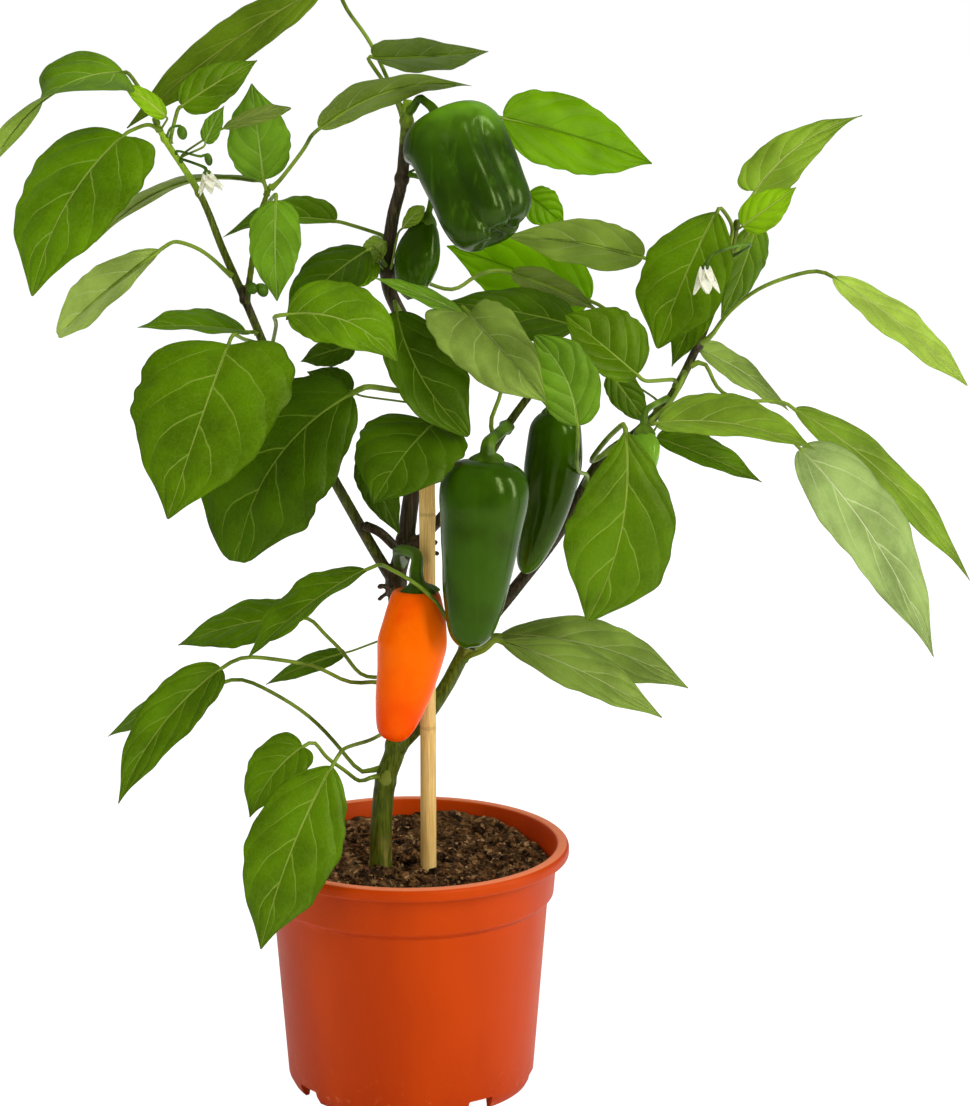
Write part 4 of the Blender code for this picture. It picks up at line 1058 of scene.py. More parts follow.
def grow_leaf(
    name, node, branch, height, base, tip, width, facing, tint="mature",
    bow=0.10, sway=0.0, twist=0.0, shape=LEAF_SHAPE, heart=(0.04, 0.04),
    fold=(0.25, 0.25), cup=0.22, wave=0.022, quilt=0.011, vias=(), thin=1.0,
):
    """One leaf. base and tip are the blade's ends and facing is the way its upper side looks.

    bow is how far the midrib arches that way and sway how far it curves sideways, as shares of its
    length, and twist turns the tip. heart is how far the base reaches back beside the stalk and
    fold the angle that a half is raised by, left and right. cup rounds the halves, wave ruffles
    the margin and quilt swells the blade between its veins.
    """
    rng = random.Random(sum(ord(letter) * (i + 3) for i, letter in enumerate(name)))
    base, tip, facing = Vector(base), Vector(tip), Vector(facing).normalized()
    chord = tip - base
    across = chord.cross(facing).normalized()
    upward = across.cross(chord).normalized()
    middle = (base + tip) / 2 + (bow * upward + sway * across) * chord.length
    ends = [np.array(point) for point in (base, middle, tip)]
    phases = [rng.uniform(0, math.tau) for _ in range(6)]

    def spine(s):
        """Places on the midrib at shares s, and which way is along, to the right and up there."""
        s = s[:, None]
        place, along = arched(ends, s)
        side = unit(np.cross(along, np.array(facing)))
        up = np.cross(side, along)
        cos, sin = np.cos(twist * s), np.sin(twist * s)
        return place, along, cos * side + sin * up, cos * up - sin * side

    bm = bmesh.new()
    layer = bm.verts.layers.float_vector.new("blade_place")
    for face_side, finish in ((1, 0), (-1, 1)):
        corners = bmesh.ops.create_grid(
            bm, x_segments=BLADE_ALONG, y_segments=BLADE_ACROSS, size=1.0
        )["verts"]
        flat = np.array([corner.co for corner in corners])
        u = flat[:, 1]
        s = np.clip(((flat[:, 0] + 1) / 2) ** 1.12, 0.0, 1.0) * 0.992 + 0.003
        right = u > 0
        margin = (
            0.024 * np.sin(math.tau * 3.1 * s + np.where(right, phases[0], phases[1]))
            + 0.014 * np.sin(math.tau * 7.3 * s + np.where(right, phases[2], phases[3]))
            + 0.030 * (1 - s) * np.abs(np.sin(math.pi * 9 * s + np.where(right, phases[4], 0)))
        )
        half = np.maximum(0.0004, width / 2 * blade_width(s, shape) * (1 + margin))
        out = np.abs(u)
        ripple = wave * width * out**2.5 * np.sin(
            math.tau * 2.6 * s + np.where(right, phases[4], phases[5])
        ) * np.sin(math.pi * s)
        crowd = s**VEIN_CROWD - VEIN_ARCH[0] * out - VEIN_ARCH[1] * out**3
        phase = SIDE_VEINS * crowd + VEIN_SHIFT * right + 0.1
        between = 2 * np.abs(phase % 1 - 0.5)
        dome = between * (2 - between) * np.sin(math.pi * np.minimum(1, out)) ** 0.6
        raised = np.where(right, fold[1], fold[0])
        rise = half * (np.sin(raised) * out - cup * out**2) + ripple
        rise = rise + quilt * width * dome * np.sin(math.pi * s)
        back = np.where(right, heart[1], heart[0]) * 2 * half * out**1.5 * (1 - s) ** 3
        thick = BLADE_THICKNESS / 2 * thin * np.sqrt(1 - np.minimum(1.0, out) ** 2)
        thick = thick * np.sin(math.pi * np.clip(flat[:, 0] * 0.5 + 0.5, 0, 1)) ** 0.5
        place, along, side, up = spine(s)
        places = place + side * (half * u * np.cos(raised))[:, None] - along * back[:, None]
        places = places + up * (rise + face_side * thick)[:, None]
        for corner, where, share, aside, metres in zip(corners, places, s, u, half * u):
            corner.co = where
            corner[layer] = (share, aside, metres)
        finish_faces(corners, finish)
    bmesh.ops.remove_doubles(bm, verts=bm.verts, dist=2e-6)

    first = Vector(vias[0]) if vias else base
    foot, away = leave_stem(branch, height, first, LEAF_LIFT)
    into = (middle - base).normalized()
    route = stalk_route(foot, away, vias, base, into, LEAF_STALK_RINGS)
    rib_shares = np.linspace(0.03, 0.90, MIDRIB_RINGS)
    place, _, _, up = spine(rib_shares)
    flare = STALK_FOOT - STALK_RADIUS
    radii = [
        thin * (STALK_RADIUS + flare * math.exp(-i / 1.2)) for i in range(LEAF_STALK_RINGS + 1)
    ]
    for spot, raised, share in zip(place, up, rib_shares):
        radius = thin * (STALK_RADIUS * (1 - share) ** 0.8 * 0.85 + 0.00012)
        route.append(Vector(spot - raised * (radius * 0.55 + 0.0001)))
        radii.append(radius)
    tube = grow_tube(bm, carried_frames(route, across), radii, 8)
    finish_faces(tube, 2)
    bmesh.ops.recalc_face_normals(bm, faces=bm.faces)
    add_piece(name, bm, [node] if node else [], leaf_finishes[tint], sharp=80)


def leaf(node, *shape, **more):
    """A leaf that stands for the CAD node of the same name."""
    grow_leaf(node.replace("leaf", "blade"), node, *shape, **more)


# The left branch and its shoot
leaf("leaf_left_1", "left", 0.513, (-0.143, -0.012, 0.511), (-0.188, -0.045, 0.433), 0.062,
     (-0.30, -0.85, 0.45), "fresh", sway=0.13, shape=(0.45, 0.85), fold=(0.25, 0.1),
     heart=(0.3, -0.06), vias=[(-0.132, -0.010, 0.516)])
leaf("leaf_left_2", "left", 0.516, (-0.143, -0.006, 0.542), (-0.208, -0.028, 0.498), 0.05,
     (0.00, -0.85, 0.50), "fresh", bow=0.72, twist=-2.0, fold=(0.15, 0.15), cup=0.1,
     vias=[(-0.132, -0.008, 0.529)])
leaf("leaf_left_3", "left", 0.505, (-0.115, 0.004, 0.524), (-0.077, 0.020, 0.546), 0.024,
     (-0.10, -0.90, 0.40), "mature", shape=(0.45, 0.95))
leaf("leaf_left_4", "left", 0.438, (-0.125, -0.024, 0.454), (-0.175, -0.050, 0.414), 0.036,
     (-0.35, 0.85, 0.40), "light", bow=0.08, shape=(0.75, 0.42), fold=(0.1, 0.65),
     vias=[(-0.097, -0.004, 0.444), (-0.106, -0.008, 0.452), (-0.117, -0.014, 0.457)])
leaf("leaf_left_5", "left", 0.408, (-0.083, -0.006, 0.409), (-0.137, -0.030, 0.415), 0.038,
     (0.05, -0.25, 0.97), "mature", bow=0.06, fold=(0.45, 0.4), quilt=0.002)
leaf("leaf_left_6", "left", 0.398, (-0.089, -0.050, 0.410), (-0.118, -0.090, 0.328), 0.08,
     (-0.15, -0.85, 0.42), "mature", sway=-0.02, shape=(0.36, 0.85), heart=(0.22, 0.02),
     fold=(0.25, 0.1), vias=[(-0.083, -0.034, 0.410)])
leaf("leaf_left_7", "left", 0.392, (-0.059, -0.050, 0.425), (-0.004, -0.062, 0.403), 0.042,
     (0.10, -0.85, 0.50), "fresh", sway=-0.26, shape=(0.5, 0.8), fold=(0.15, 0.6),
     vias=[(-0.066, -0.032, 0.417)])
leaf("leaf_shoot_1", "shoot", 0.48, (-0.074, 0.008, 0.486), (-0.079, 0.002, 0.536), 0.033,
     (0.10, -0.97, -0.05), "cool", bow=0.06, shape=(0.55, 0.9))
leaf("leaf_shoot_2", "shoot", 0.469, (-0.066, -0.022, 0.479), (-0.065, -0.040, 0.430), 0.028,
     (-0.20, -0.90, 0.35), "cool", shape=(0.5, 0.85))
leaf("leaf_shoot_3", "shoot", 0.478, (-0.078, 0.030, 0.483), (-0.169, 0.074, 0.444), 0.032,
     (-0.35, 0.32, 0.90), "olive", bow=0.26, quilt=0.005)
leaf("leaf_shoot_4", "shoot", 0.482, (-0.044, -0.008, 0.514), (0.034, -0.027, 0.537), 0.038,
     (0.05, 0.40, 0.90), "mature", bow=0.24, quilt=0.005, vias=[(-0.053, 0.002, 0.502)])

# The main stem, from the top down
leaf("leaf_main_1", "main", 0.516, (-0.046, 0.064, 0.580), (-0.148, 0.046, 0.508), 0.028,
     (-0.35, -0.85, 0.40), "olive", sway=0.02, shape=(0.6, 0.9),
     vias=[(-0.019, 0.030, 0.554), (-0.033, 0.050, 0.571)])
leaf("leaf_main_2", "main", 0.521, (-0.017, 0.014, 0.548), (0.042, -0.010, 0.553), 0.037,
     (0.05, 0.55, 0.82), "olive", bow=-0.02, quilt=0.005)
leaf("leaf_main_3", "main", 0.508, (0.049, 0.044, 0.514), (0.130, 0.088, 0.485), 0.044,
     (0.05, -0.90, 0.45), "backlit", shape=(0.5, 0.95), vias=[(0.020, 0.034, 0.519)])
leaf("leaf_main_4", "main", 0.452, (-0.038, 0.034, 0.461), (-0.100, 0.066, 0.448), 0.03,
     (-0.10, -0.75, 0.65), "mature", bow=0.14, fold=(0.9, 0.15), sway=0.08, quilt=0.003)
leaf("leaf_main_5", "main", 0.44, (-0.020, -0.002, 0.451), (-0.062, -0.018, 0.417), 0.038,
     (-0.30, -0.65, 0.70), "deep", bow=0.1, shape=(0.65, 0.85))
leaf("leaf_main_6", "main", 0.392, (-0.005, -0.028, 0.423), (0.032, -0.058, 0.364), 0.044,
     (-0.10, -0.97, 0.10), "deep", fold=(0.12, 1.0), sway=0.14, shape=(0.6, 0.62))
leaf("leaf_main_7", "main", 0.401, (0.029, -0.030, 0.422), (-0.017, -0.044, 0.443), 0.018,
     (0.20, -0.40, 0.90), "cool", bow=0.05, quilt=0.004, vias=[(0.014, -0.002, 0.409)])
leaf("leaf_main_8", "main", 0.428, (0.054, 0.046, 0.432), (0.100, 0.038, 0.413), 0.022,
     (0.25, 0.75, 0.60), "olive", bow=0.1, quilt=0.005,
     vias=[(0.022, 0.030, 0.425), (0.034, 0.040, 0.431)])
leaf("leaf_main_9", "main", 0.372, (-0.028, -0.030, 0.381), (-0.087, -0.046, 0.296), 0.07,
     (-0.25, -0.85, 0.45), "deep", sway=0.22, shape=(0.5, 0.42), thin=1.5,
     vias=[(-0.001, -0.006, 0.378), (-0.015, -0.018, 0.382)])
leaf("leaf_main_10", "main", 0.352, (0.014, -0.044, 0.368), (-0.016, -0.070, 0.332), 0.056,
     (-0.10, -0.85, 0.50), "deep", sway=0.06, shape=(0.45, 0.8), fold=(0.4, 0.0),
     heart=(0.25, -0.05), vias=[(0.002, -0.024, 0.364)])
leaf("leaf_main_11", "right", 0.238, (-0.021, -0.040, 0.291), (-0.081, -0.058, 0.249), 0.031,
     (-0.35, -0.75, 0.55), "mature", bow=0.16, wave=0.07, shape=(0.7, 0.8), fold=(0.9, 0.2),
     vias=[(0.025, -0.038, 0.256), (0.018, -0.047, 0.272), (0.012, -0.055, 0.281),
           (0.003, -0.060, 0.290), (-0.009, -0.054, 0.295)])
leaf("leaf_main_12", "main", 0.216, (-0.058, 0.016, 0.252), (-0.125, 0.030, 0.233), 0.032,
     (-0.10, -0.60, 0.80), "mature", bow=0.14,
     vias=[(-0.025, 0.006, 0.222), (-0.036, 0.011, 0.235), (-0.047, 0.014, 0.245)])
leaf("leaf_low_1", "main", 0.212, (-0.097, -0.030, 0.236), (-0.150, -0.052, 0.169), 0.033,
     (-0.40, -0.80, 0.40), "mature", bow=0.14, sway=0.09, fold=(0.35, 0.6),
     vias=[(-0.031, -0.006, 0.221), (-0.047, -0.012, 0.232), (-0.071, -0.022, 0.239)])
leaf("leaf_low_2", "main", 0.174, (-0.100, 0.008, 0.218), (-0.164, 0.030, 0.182), 0.03,
     (-0.30, -0.40, 0.85), "mature",
     vias=[(-0.023, -0.006, 0.170), (-0.031, 0.000, 0.176), (-0.040, 0.003, 0.187),
           (-0.058, 0.006, 0.204)])
leaf("leaf_low_3", "main", 0.169, (-0.054, -0.052, 0.200), (-0.081, -0.066, 0.166), 0.031,
     (-0.20, -0.90, 0.30), "mature", bow=0.12, sway=0.14, heart=(0.25, 0.2), fold=(0.6, 0.2),
     vias=[(-0.025, -0.016, 0.170), (-0.033, -0.028, 0.180), (-0.043, -0.042, 0.192)])
leaf("leaf_low_4", "main", 0.188, (-0.038, -0.074, 0.196), (-0.074, -0.102, 0.107), 0.048,
     (-0.10, -0.95, 0.30), "mature", sway=0.06, shape=(0.75, 0.95), fold=(0.2, 0.2),
     vias=[(-0.019, -0.024, 0.196), (-0.029, -0.050, 0.200)])

# The right branch
leaf("leaf_right_1", "right", 0.237, (0.047, 0.016, 0.242), (0.150, 0.034, 0.208), 0.036,
     (0.15, -0.65, 0.75), "grey", bow=0.25, thin=1.5, shape=(0.85, 0.95),
     vias=[(0.039, 0.012, 0.237)])
leaf("leaf_right_2", "right", 0.234, (0.048, -0.012, 0.246), (0.133, -0.026, 0.208), 0.03,
     (0.20, -0.70, 0.70), "grey", bow=0.15, fold=(0.2, 0.4), thin=1.4, shape=(0.85, 0.95),
     vias=[(0.040, -0.010, 0.241)])
leaf("leaf_right_3", "right", 0.343, (0.111, -0.052, 0.367), (0.092, -0.058, 0.268), 0.057,
     (0.10, -0.97, 0.10), "mature", bow=0.08, sway=-0.15, shape=(1.05, 0.8), thin=1.3,
     vias=[(0.095, 0.000, 0.339), (0.102, -0.022, 0.355), (0.109, -0.044, 0.367)])
leaf("leaf_right_4", "right", 0.384, (0.128, -0.037, 0.367), (0.206, -0.062, 0.358), 0.044,
     (0.10, -0.60, 0.80), "light", sway=-0.1, fold=(0.2, 0.65), vias=[(0.136, -0.018, 0.375)])
leaf("leaf_right_5", "right", 0.39, (0.203, -0.012, 0.349), (0.274, -0.024, 0.240), 0.05,
     (0.40, -0.80, 0.40), "silver", sway=-0.06, shape=(0.5, 1.0), fold=(0.2, 0.45),
     vias=[(0.162, 0.002, 0.376), (0.185, -0.004, 0.369)])
leaf("leaf_right_6", "right", 0.366, (0.204, 0.034, 0.361), (0.302, 0.048, 0.264), 0.036,
     (0.60, -0.50, 0.60), "light", bow=0.15, shape=(0.62, 0.95), heart=(0.12, 0.0))
leaf("leaf_right_7", "right", 0.402, (0.153, 0.034, 0.393), (0.204, 0.066, 0.354), 0.031,
     (0.50, -0.40, 0.75), "grey")
leaf("leaf_right_8", "right", 0.378, (0.118, -0.026, 0.390), (0.081, -0.020, 0.420), 0.044,
     (-0.10, -0.90, 0.40), "mature", bow=0.08, shape=(0.5, 0.7), fold=(0.9, 0.2))
leaf("leaf_right_9", "right", 0.398, (0.122, 0.012, 0.445), (0.050, -0.002, 0.458), 0.038,
     (0.00, 0.75, 0.65), "fresh", quilt=0.006, vias=[(0.131, 0.010, 0.432)])
leaf("leaf_right_10", "right", 0.448, (0.159, -0.004, 0.471), (0.128, -0.024, 0.403), 0.049,
     (-0.35, -0.85, 0.35), "mature", bow=0.12, shape=(0.85, 0.8), vias=[(0.167, -0.001, 0.463)])
leaf("leaf_right_11", "right", 0.44, (0.182, 0.034, 0.459), (0.165, 0.046, 0.408), 0.026,
     (0.50, -0.80, 0.20), "mature", bow=0.08)
leaf("leaf_right_12", "right", 0.462, (0.180, 0.020, 0.478), (0.238, 0.048, 0.515), 0.028,
     (0.05, -0.70, 0.70), "light", sway=-0.14, shape=(0.36, 1.25), heart=(0.25, 0.0))
leaf("leaf_right_13", "right", 0.402, (0.220, 0.004, 0.436), (0.288, -0.020, 0.383), 0.036,
     (0.50, -0.45, 0.70), "pale", bow=0.07, shape=(0.6, 0.75),
     vias=[(0.163, 0.002, 0.415), (0.181, 0.003, 0.430), (0.203, 0.004, 0.438)])

# The middle branch
leaf("leaf_middle_1", "right", 0.324, (0.087, -0.044, 0.367), (0.065, -0.036, 0.412), 0.033,
     (0.10, -0.90, -0.10), "cool", bow=0.06, sway=0.2, shape=(0.5, 0.6),
     vias=[(0.088, -0.016, 0.338), (0.087, -0.036, 0.353)])
leaf("leaf_middle_2", "middle", 0.352, (0.032, -0.042, 0.424), (0.071, -0.060, 0.382), 0.052,
     (-0.20, -0.75, 0.62), "grey", shape=(0.4, 0.85), heart=(0.0, 0.6), fold=(1.05, 0.45),
     quilt=0.024, vias=[(0.042, -0.020, 0.365), (0.048, -0.020, 0.378), (0.048, -0.030, 0.404)])
leaf("leaf_middle_3", "middle", 0.394, (0.087, 0.014, 0.409), (0.018, 0.030, 0.419), 0.038,
     (0.10, -0.60, 0.80), "deep", bow=0.06)
leaf("leaf_middle_4", "middle", 0.398, (0.096, 0.060, 0.415), (0.019, 0.086, 0.441), 0.044,
     (0.00, -0.85, 0.50), "backlit", bow=0.08, vias=[(0.096, 0.030, 0.411)])


def young_leaf(number, *shape, **more):
    """A thin young leaf, too small to have a CAD node of its own."""
    grow_leaf(f"young_leaf_{number}", None, *shape, thin=0.55, **more)


# In the axils and at the tips
young_leaf(1, "left", 0.512, (-0.122, -0.010, 0.520), (-0.144, -0.016, 0.538), 0.012,
           (0.2, -0.8, 0.5), "lime")
young_leaf(2, "left", 0.496, (-0.102, -0.012, 0.507), (-0.092, -0.014, 0.526), 0.011,
           (-0.3, -0.9, 0.2), "cool")
young_leaf(3, "left", 0.496, (-0.093, -0.009, 0.514), (-0.058, -0.015, 0.525), 0.011,
           (0.0, 0.8, 0.6), "olive", shape=(0.6, 0.5))
young_leaf(4, "main", 0.437, (-0.018, 0.006, 0.444), (-0.037, 0.002, 0.434), 0.01, (0.0, -0.8, 0.5),
           "lime")
young_leaf(5, "main", 0.437, (-0.016, 0.010, 0.443), (-0.029, 0.008, 0.429), 0.013,
           (-0.3, -0.8, 0.3), "lime")
young_leaf(6, "main", 0.446, (-0.012, 0.012, 0.453), (-0.025, 0.014, 0.442), 0.016,
           (-0.3, -0.7, 0.5), "pale")
young_leaf(7, "main", 0.438, (-0.003, 0.004, 0.461), (0.009, 0.000, 0.473), 0.01, (-0.4, -0.8, 0.3),
           "light", shape=(0.9, 0.5))
young_leaf(8, "right", 0.4, (0.156, 0.008, 0.427), (0.137, 0.004, 0.389), 0.02, (-0.5, -0.8, 0.2),
           "mature")
young_leaf(9, "right", 0.46, (0.172, -0.002, 0.463), (0.199, -0.008, 0.484), 0.02, (0.3, -0.8, 0.4),
           "lime")
young_leaf(10, "right", 0.372, (0.129, -0.004, 0.353), (0.185, 0.002, 0.328), 0.024,
           (0.2, -0.8, 0.5), "mature", fold=(0.2, 0.8))
young_leaf(11, "main", 0.486, (0.062, 0.034, 0.475), (0.082, 0.038, 0.458), 0.021, (0.2, -0.9, 0.2),
           "backlit")
young_leaf(12, "right", 0.366, (0.105, 0.004, 0.386), (0.125, 0.006, 0.358), 0.018,
           (0.0, -0.9, 0.3), "mature")
young_leaf(13, "main", 0.34, (-0.024, 0.008, 0.342), (-0.005, 0.002, 0.300), 0.02,
           (-0.1, -0.8, 0.5), "deep")
young_leaf(14, "main", 0.362, (-0.030, 0.026, 0.372), (-0.054, 0.030, 0.382), 0.018,
           (0.0, -0.8, 0.5), "deep")
young_leaf(15, "main", 0.385, (-0.028, 0.020, 0.398), (-0.057, 0.026, 0.388), 0.018,
           (0.0, -0.8, 0.5), "deep")
young_leaf(16, "main", 0.24, (-0.035, 0.030, 0.229), (-0.079, 0.046, 0.207), 0.013,
           (0.0, -0.7, 0.7), "mature")


# ------------------------------------------------------------------ the peppers
# Hollow fleshy fruits with a waxy skin: one blocky bell, two long tapering ones, one of them ripe
# and orange, a slender curved one and two that have only just set.
FRUIT_AROUND = 96
FRUIT_ALONG = 72
LOBE_MERGE = 26


def fruit_body(name, node, finish, top, tip, outline, lobes, bend=(0, 0, 0), plain_top=0.0):
    """A hanging fruit: a sphere drawn out to an outline about a bent axis, with rounded lobes.

    outline runs from the stalk's pit to the tip's as (share of the length, radius), and each lobe
    is (direction in degrees, 0 right and 90 back; size; roundness; end drop). The fruit is round
    down to plain_top, a share of its length, and lobed from there on.
    """
    bm = bmesh.new()
    bmesh.ops.create_uvsphere(bm, u_segments=FRUIT_AROUND, v_segments=FRUIT_ALONG, radius=1.0)
    ball = np.array([corner.co for corner in bm.verts])
    length = (Vector(tip) - Vector(top)).length
    points = [(share * length, radius, 0) for share, radius in outline]
    curve = np.array(smooth_route(points, 0.001))
    gone = distances(curve)
    travel = np.arccos(np.clip(ball[:, 2], -1, 1)) / math.pi * gone[-1]
    along = np.interp(travel, gone, curve[:, 0]) / length
    radius = np.interp(travel, gone, curve[:, 1])
    angle = np.arctan2(ball[:, 1], ball[:, 0])

    reach = []
    drops = np.array([lobe[3] for lobe in lobes])
    for turn, size, roundness, _ in lobes:
        away = angle - math.radians(turn)
        offset = size * (1 - roundness)
        reach.append(
            offset * np.cos(away)
            + np.sqrt(np.maximum(0, (size * roundness) ** 2 - (offset * np.sin(away)) ** 2))
        )
    powers = np.maximum(0, reach) ** LOBE_MERGE
    whole = powers.sum(axis=0)
    lobed = ease(np.clip((along - plain_top) / (plain_top + 0.01), 0, 1))
    radius = radius * (1 + (whole ** (1 / LOBE_MERGE) - 1) * lobed)
    hang = (powers / whole * drops[:, None]).sum(axis=0)
    along = along + hang / length * np.clip((along - 0.55) / 0.4, 0, 1) ** 2

    middle = (Vector(top) + Vector(tip)) / 2 + Vector(bend)
    ends = [np.array(point) for point in (top, middle, tip)]
    axis, down = arched(ends, along[:, None])
    side = unit(np.cross(down, np.cross((1.0, 0.0, 0.0), down)))
    back = np.cross(side, down)
    around = np.cos(angle)[:, None] * side + np.sin(angle)[:, None] * back
    places = axis + radius[:, None] * around
    for corner, place in zip(bm.verts, places):
        uneven = noise.noise(Vector(place) * 55) * 0.0005
        corner.co = Vector(place) + Vector((uneven, uneven, 0))
    bmesh.ops.recalc_face_normals(bm, faces=bm.faces)
    add_piece(name, bm, [node], [finish], sharp=180)


def fruit_skin(
    name, deep, plain, lit_and_streak_tone, low, high, tint=(0.75, 1.0, 0.35), shine=0.30, sheen=0.10
):
    """Waxy skin in three close colours, blotched and streaked, with painted light that turns it to
    the third colour from height low to height high.
    """
    made, tree, output = new_material(name)
    height = own_height(tree)
    blotches = speckle(tree, 38.0, 3.0)
    streaks = speckle(tree, 240.0, 2.0, (1, 1, 0.12))
    colour = mixed(tree, fade(tree, blotches, 0.38, 0.64), deep, plain)
    # painted light: the skin turns towards its third colour between the heights low and high
    share = times(tree, fade(tree, height, low, high), fade(tree, blotches, 0.10, 0.55))
    colour = mixed(tree, share, colour, lit_and_streak_tone)
    colour = mixed(tree, times(tree, fade(tree, streaks, 0.52, 0.75), 0.12), colour, lit_and_streak_tone)
    dimples = maths(tree, "ADD", speckle(tree, 900.0, 2.0), times(tree, streaks, 1.5))
    cover(tree, output, {
        "Base Color": colour,
        "Roughness": spread(tree, blotches, 0.14, sheen),
        "Specular IOR Level": shine,
        "Specular Tint": tint,
        "Normal": relief(tree, dimples, 0.10, 0.0004),
    })
    return made


# Each skin's third colour is a painted lit colour, laid on between its two heights.
bell_skin = fruit_skin(
    "bell_skin", linear(30, 54, 0), linear(40, 70, 0), linear(112, 168, 28), 0.506, 0.538,
    shine=0.36, sheen=0.17,
)
green_skin = fruit_skin(
    "green_skin", linear(36, 60, 0), linear(44, 76, 0), linear(58, 98, 2), 0.29, 0.24
)
dark_skin = fruit_skin(
    "dark_skin", linear(40, 66, 0), linear(52, 86, 0), linear(76, 116, 16), 0.30, 0.27
)
young_skin = fruit_skin(
    "young_skin", linear(80, 128, 8), linear(112, 164, 20), linear(140, 190, 50), 0.33, 0.36
)
ripe_skin = fruit_skin(
    "ripe_skin", linear(240, 68, 0), linear(248, 86, 0), linear(252, 104, 0), 0.20, 0.255,
    tint=(1.0, 0.80, 0.20), shine=0.14, sheen=0.20,
)

fruit_body(
    "ripe_bell_body", "bell_pepper", bell_skin,
    (0.0190, -0.010, 0.5190), (0.0450, -0.038, 0.463),
    [(0.085, 0.0), (0.06, 0.006), (0.01, 0.0105), (-0.012, 0.0150), (0.01, 0.0198), (0.08, 0.0242),
     (0.20, 0.0268), (0.42, 0.0270), (0.64, 0.0262), (0.82, 0.0256), (0.93, 0.0228), (0.99, 0.0168),
     (0.99, 0.0105), (0.955, 0.005), (0.94, 0.0)],
    [(-14, 1.0, 0.56, -0.002), (-82, 0.98, 0.36, 0.0), (-146, 1.0, 0.50, 0.004),
     (80, 1.0, 0.62, 0.0)],
    plain_top=0.16,
)
fruit_body(
    "long_pepper_body", "long_pepper", green_skin,
    (0.041, -0.050, 0.350), (0.032, -0.062, 0.256),
    [(0.03, 0.0), (0.02, 0.004), (0.0, 0.009), (0.01, 0.0145), (0.045, 0.0195), (0.12, 0.0226),
     (0.22, 0.0229), (0.35, 0.0213), (0.6, 0.0182), (0.8, 0.0150), (0.92, 0.0116), (0.98, 0.0072),
     (1.0, 0.003), (0.997, 0.0)],
    [(-30, 1.0, 0.86, 0.0), (-150, 1.0, 0.86, 0.001), (90, 1.0, 0.86, 0.0)],
    bend=(0.0005, 0, 0),
)
fruit_body(
    "orange_pepper_body", "orange_pepper", ripe_skin,
    (0.0045, -0.037, 0.279), (-0.0095, -0.042, 0.200),
    [(0.06, 0.0), (0.045, 0.004), (0.005, 0.0080), (-0.005, 0.0108), (0.02, 0.0130), (0.10, 0.0148),
     (0.22, 0.0168), (0.34, 0.0184), (0.44, 0.0175), (0.55, 0.0161), (0.70, 0.0143), (0.86, 0.0112),
     (0.95, 0.0080), (0.985, 0.0042), (0.99, 0.0)],
    [(-30, 1.0, 0.84, 0.0), (-150, 1.0, 0.86, 0.0), (80, 1.0, 0.84, 0.0)],
    bend=(0.006, 0, 0),
)
fruit_body(
    "curved_pepper_body", "curved_pepper", dark_skin,
    (0.077, 0.000, 0.366), (0.060, 0.002, 0.279),
    [(0.02, 0.0), (0.0, 0.004), (0.01, 0.0085), (0.05, 0.0120), (0.12, 0.0142), (0.30, 0.0153),
     (0.48, 0.0145), (0.65, 0.0122), (0.8, 0.0098), (0.92, 0.0068), (0.98, 0.0034), (1.0, 0.0)],
    [(-60, 1.0, 0.84, 0.0), (170, 1.0, 0.84, 0.0), (50, 1.0, 0.84, 0.0)],
    bend=(0.010, 0, 0.002),
)
fruit_body(
    "small_pepper_body", "small_pepper", dark_skin,
    (0.010, 0.006, 0.465), (0.000, 0.004, 0.424),
    [(0.02, 0.0), (0.0, 0.0035), (0.05, 0.0060), (0.16, 0.0086), (0.35, 0.0112), (0.55, 0.0115),
     (0.78, 0.0090), (0.93, 0.0050), (1.0, 0.0)],
    [(-60, 1.0, 0.86, 0.0), (170, 1.0, 0.86, 0.0), (50, 1.0, 0.86, 0.0)],
)
fruit_body(
    "young_pepper_body", "young_pepper", young_skin,
    (0.122, -0.020, 0.359), (0.122, -0.026, 0.335),
    [(0.03, 0.0), (0.0, 0.004), (0.08, 0.0068), (0.25, 0.0088), (0.5, 0.0085), (0.8, 0.006),
     (0.96, 0.0025), (1.0, 0.0)],
    [(-60, 1.0, 0.80, 0.0), (170, 1.0, 0.80, 0.0), (50, 1.0, 0.80, 0.0)],
)


# ------------------------------------------------------------------ the fruit stalks
# Each pepper hangs from a ridged, fleshy green stalk that widens into a calyx, a shallow cap with
# small blunt teeth that clasps the fruit's shoulders.
STALK_RINGS = 18
CALYX_TEETH = 6
# A calyx's section: how far back from the fruit's top, share of its radius, depth of its teeth
CALYX = (
    (0.0036, 0.50, 0.03), (0.0024, 0.74, 0.06), (0.0010, 0.92, 0.10), (-0.0008, 1.04, 0.14),
    (-0.0016, 1.02, 0.14), (-0.0006, 0.86, 0.10), (0.0006, 0.50, 0.0),
)


green_stalk = stalk_skin("fruit_stalk", linear(74, 108, 10), linear(44, 72, 2))
pale_stalk = stalk_skin("pale_fruit_stalk", linear(112, 146, 40), linear(74, 106, 16))


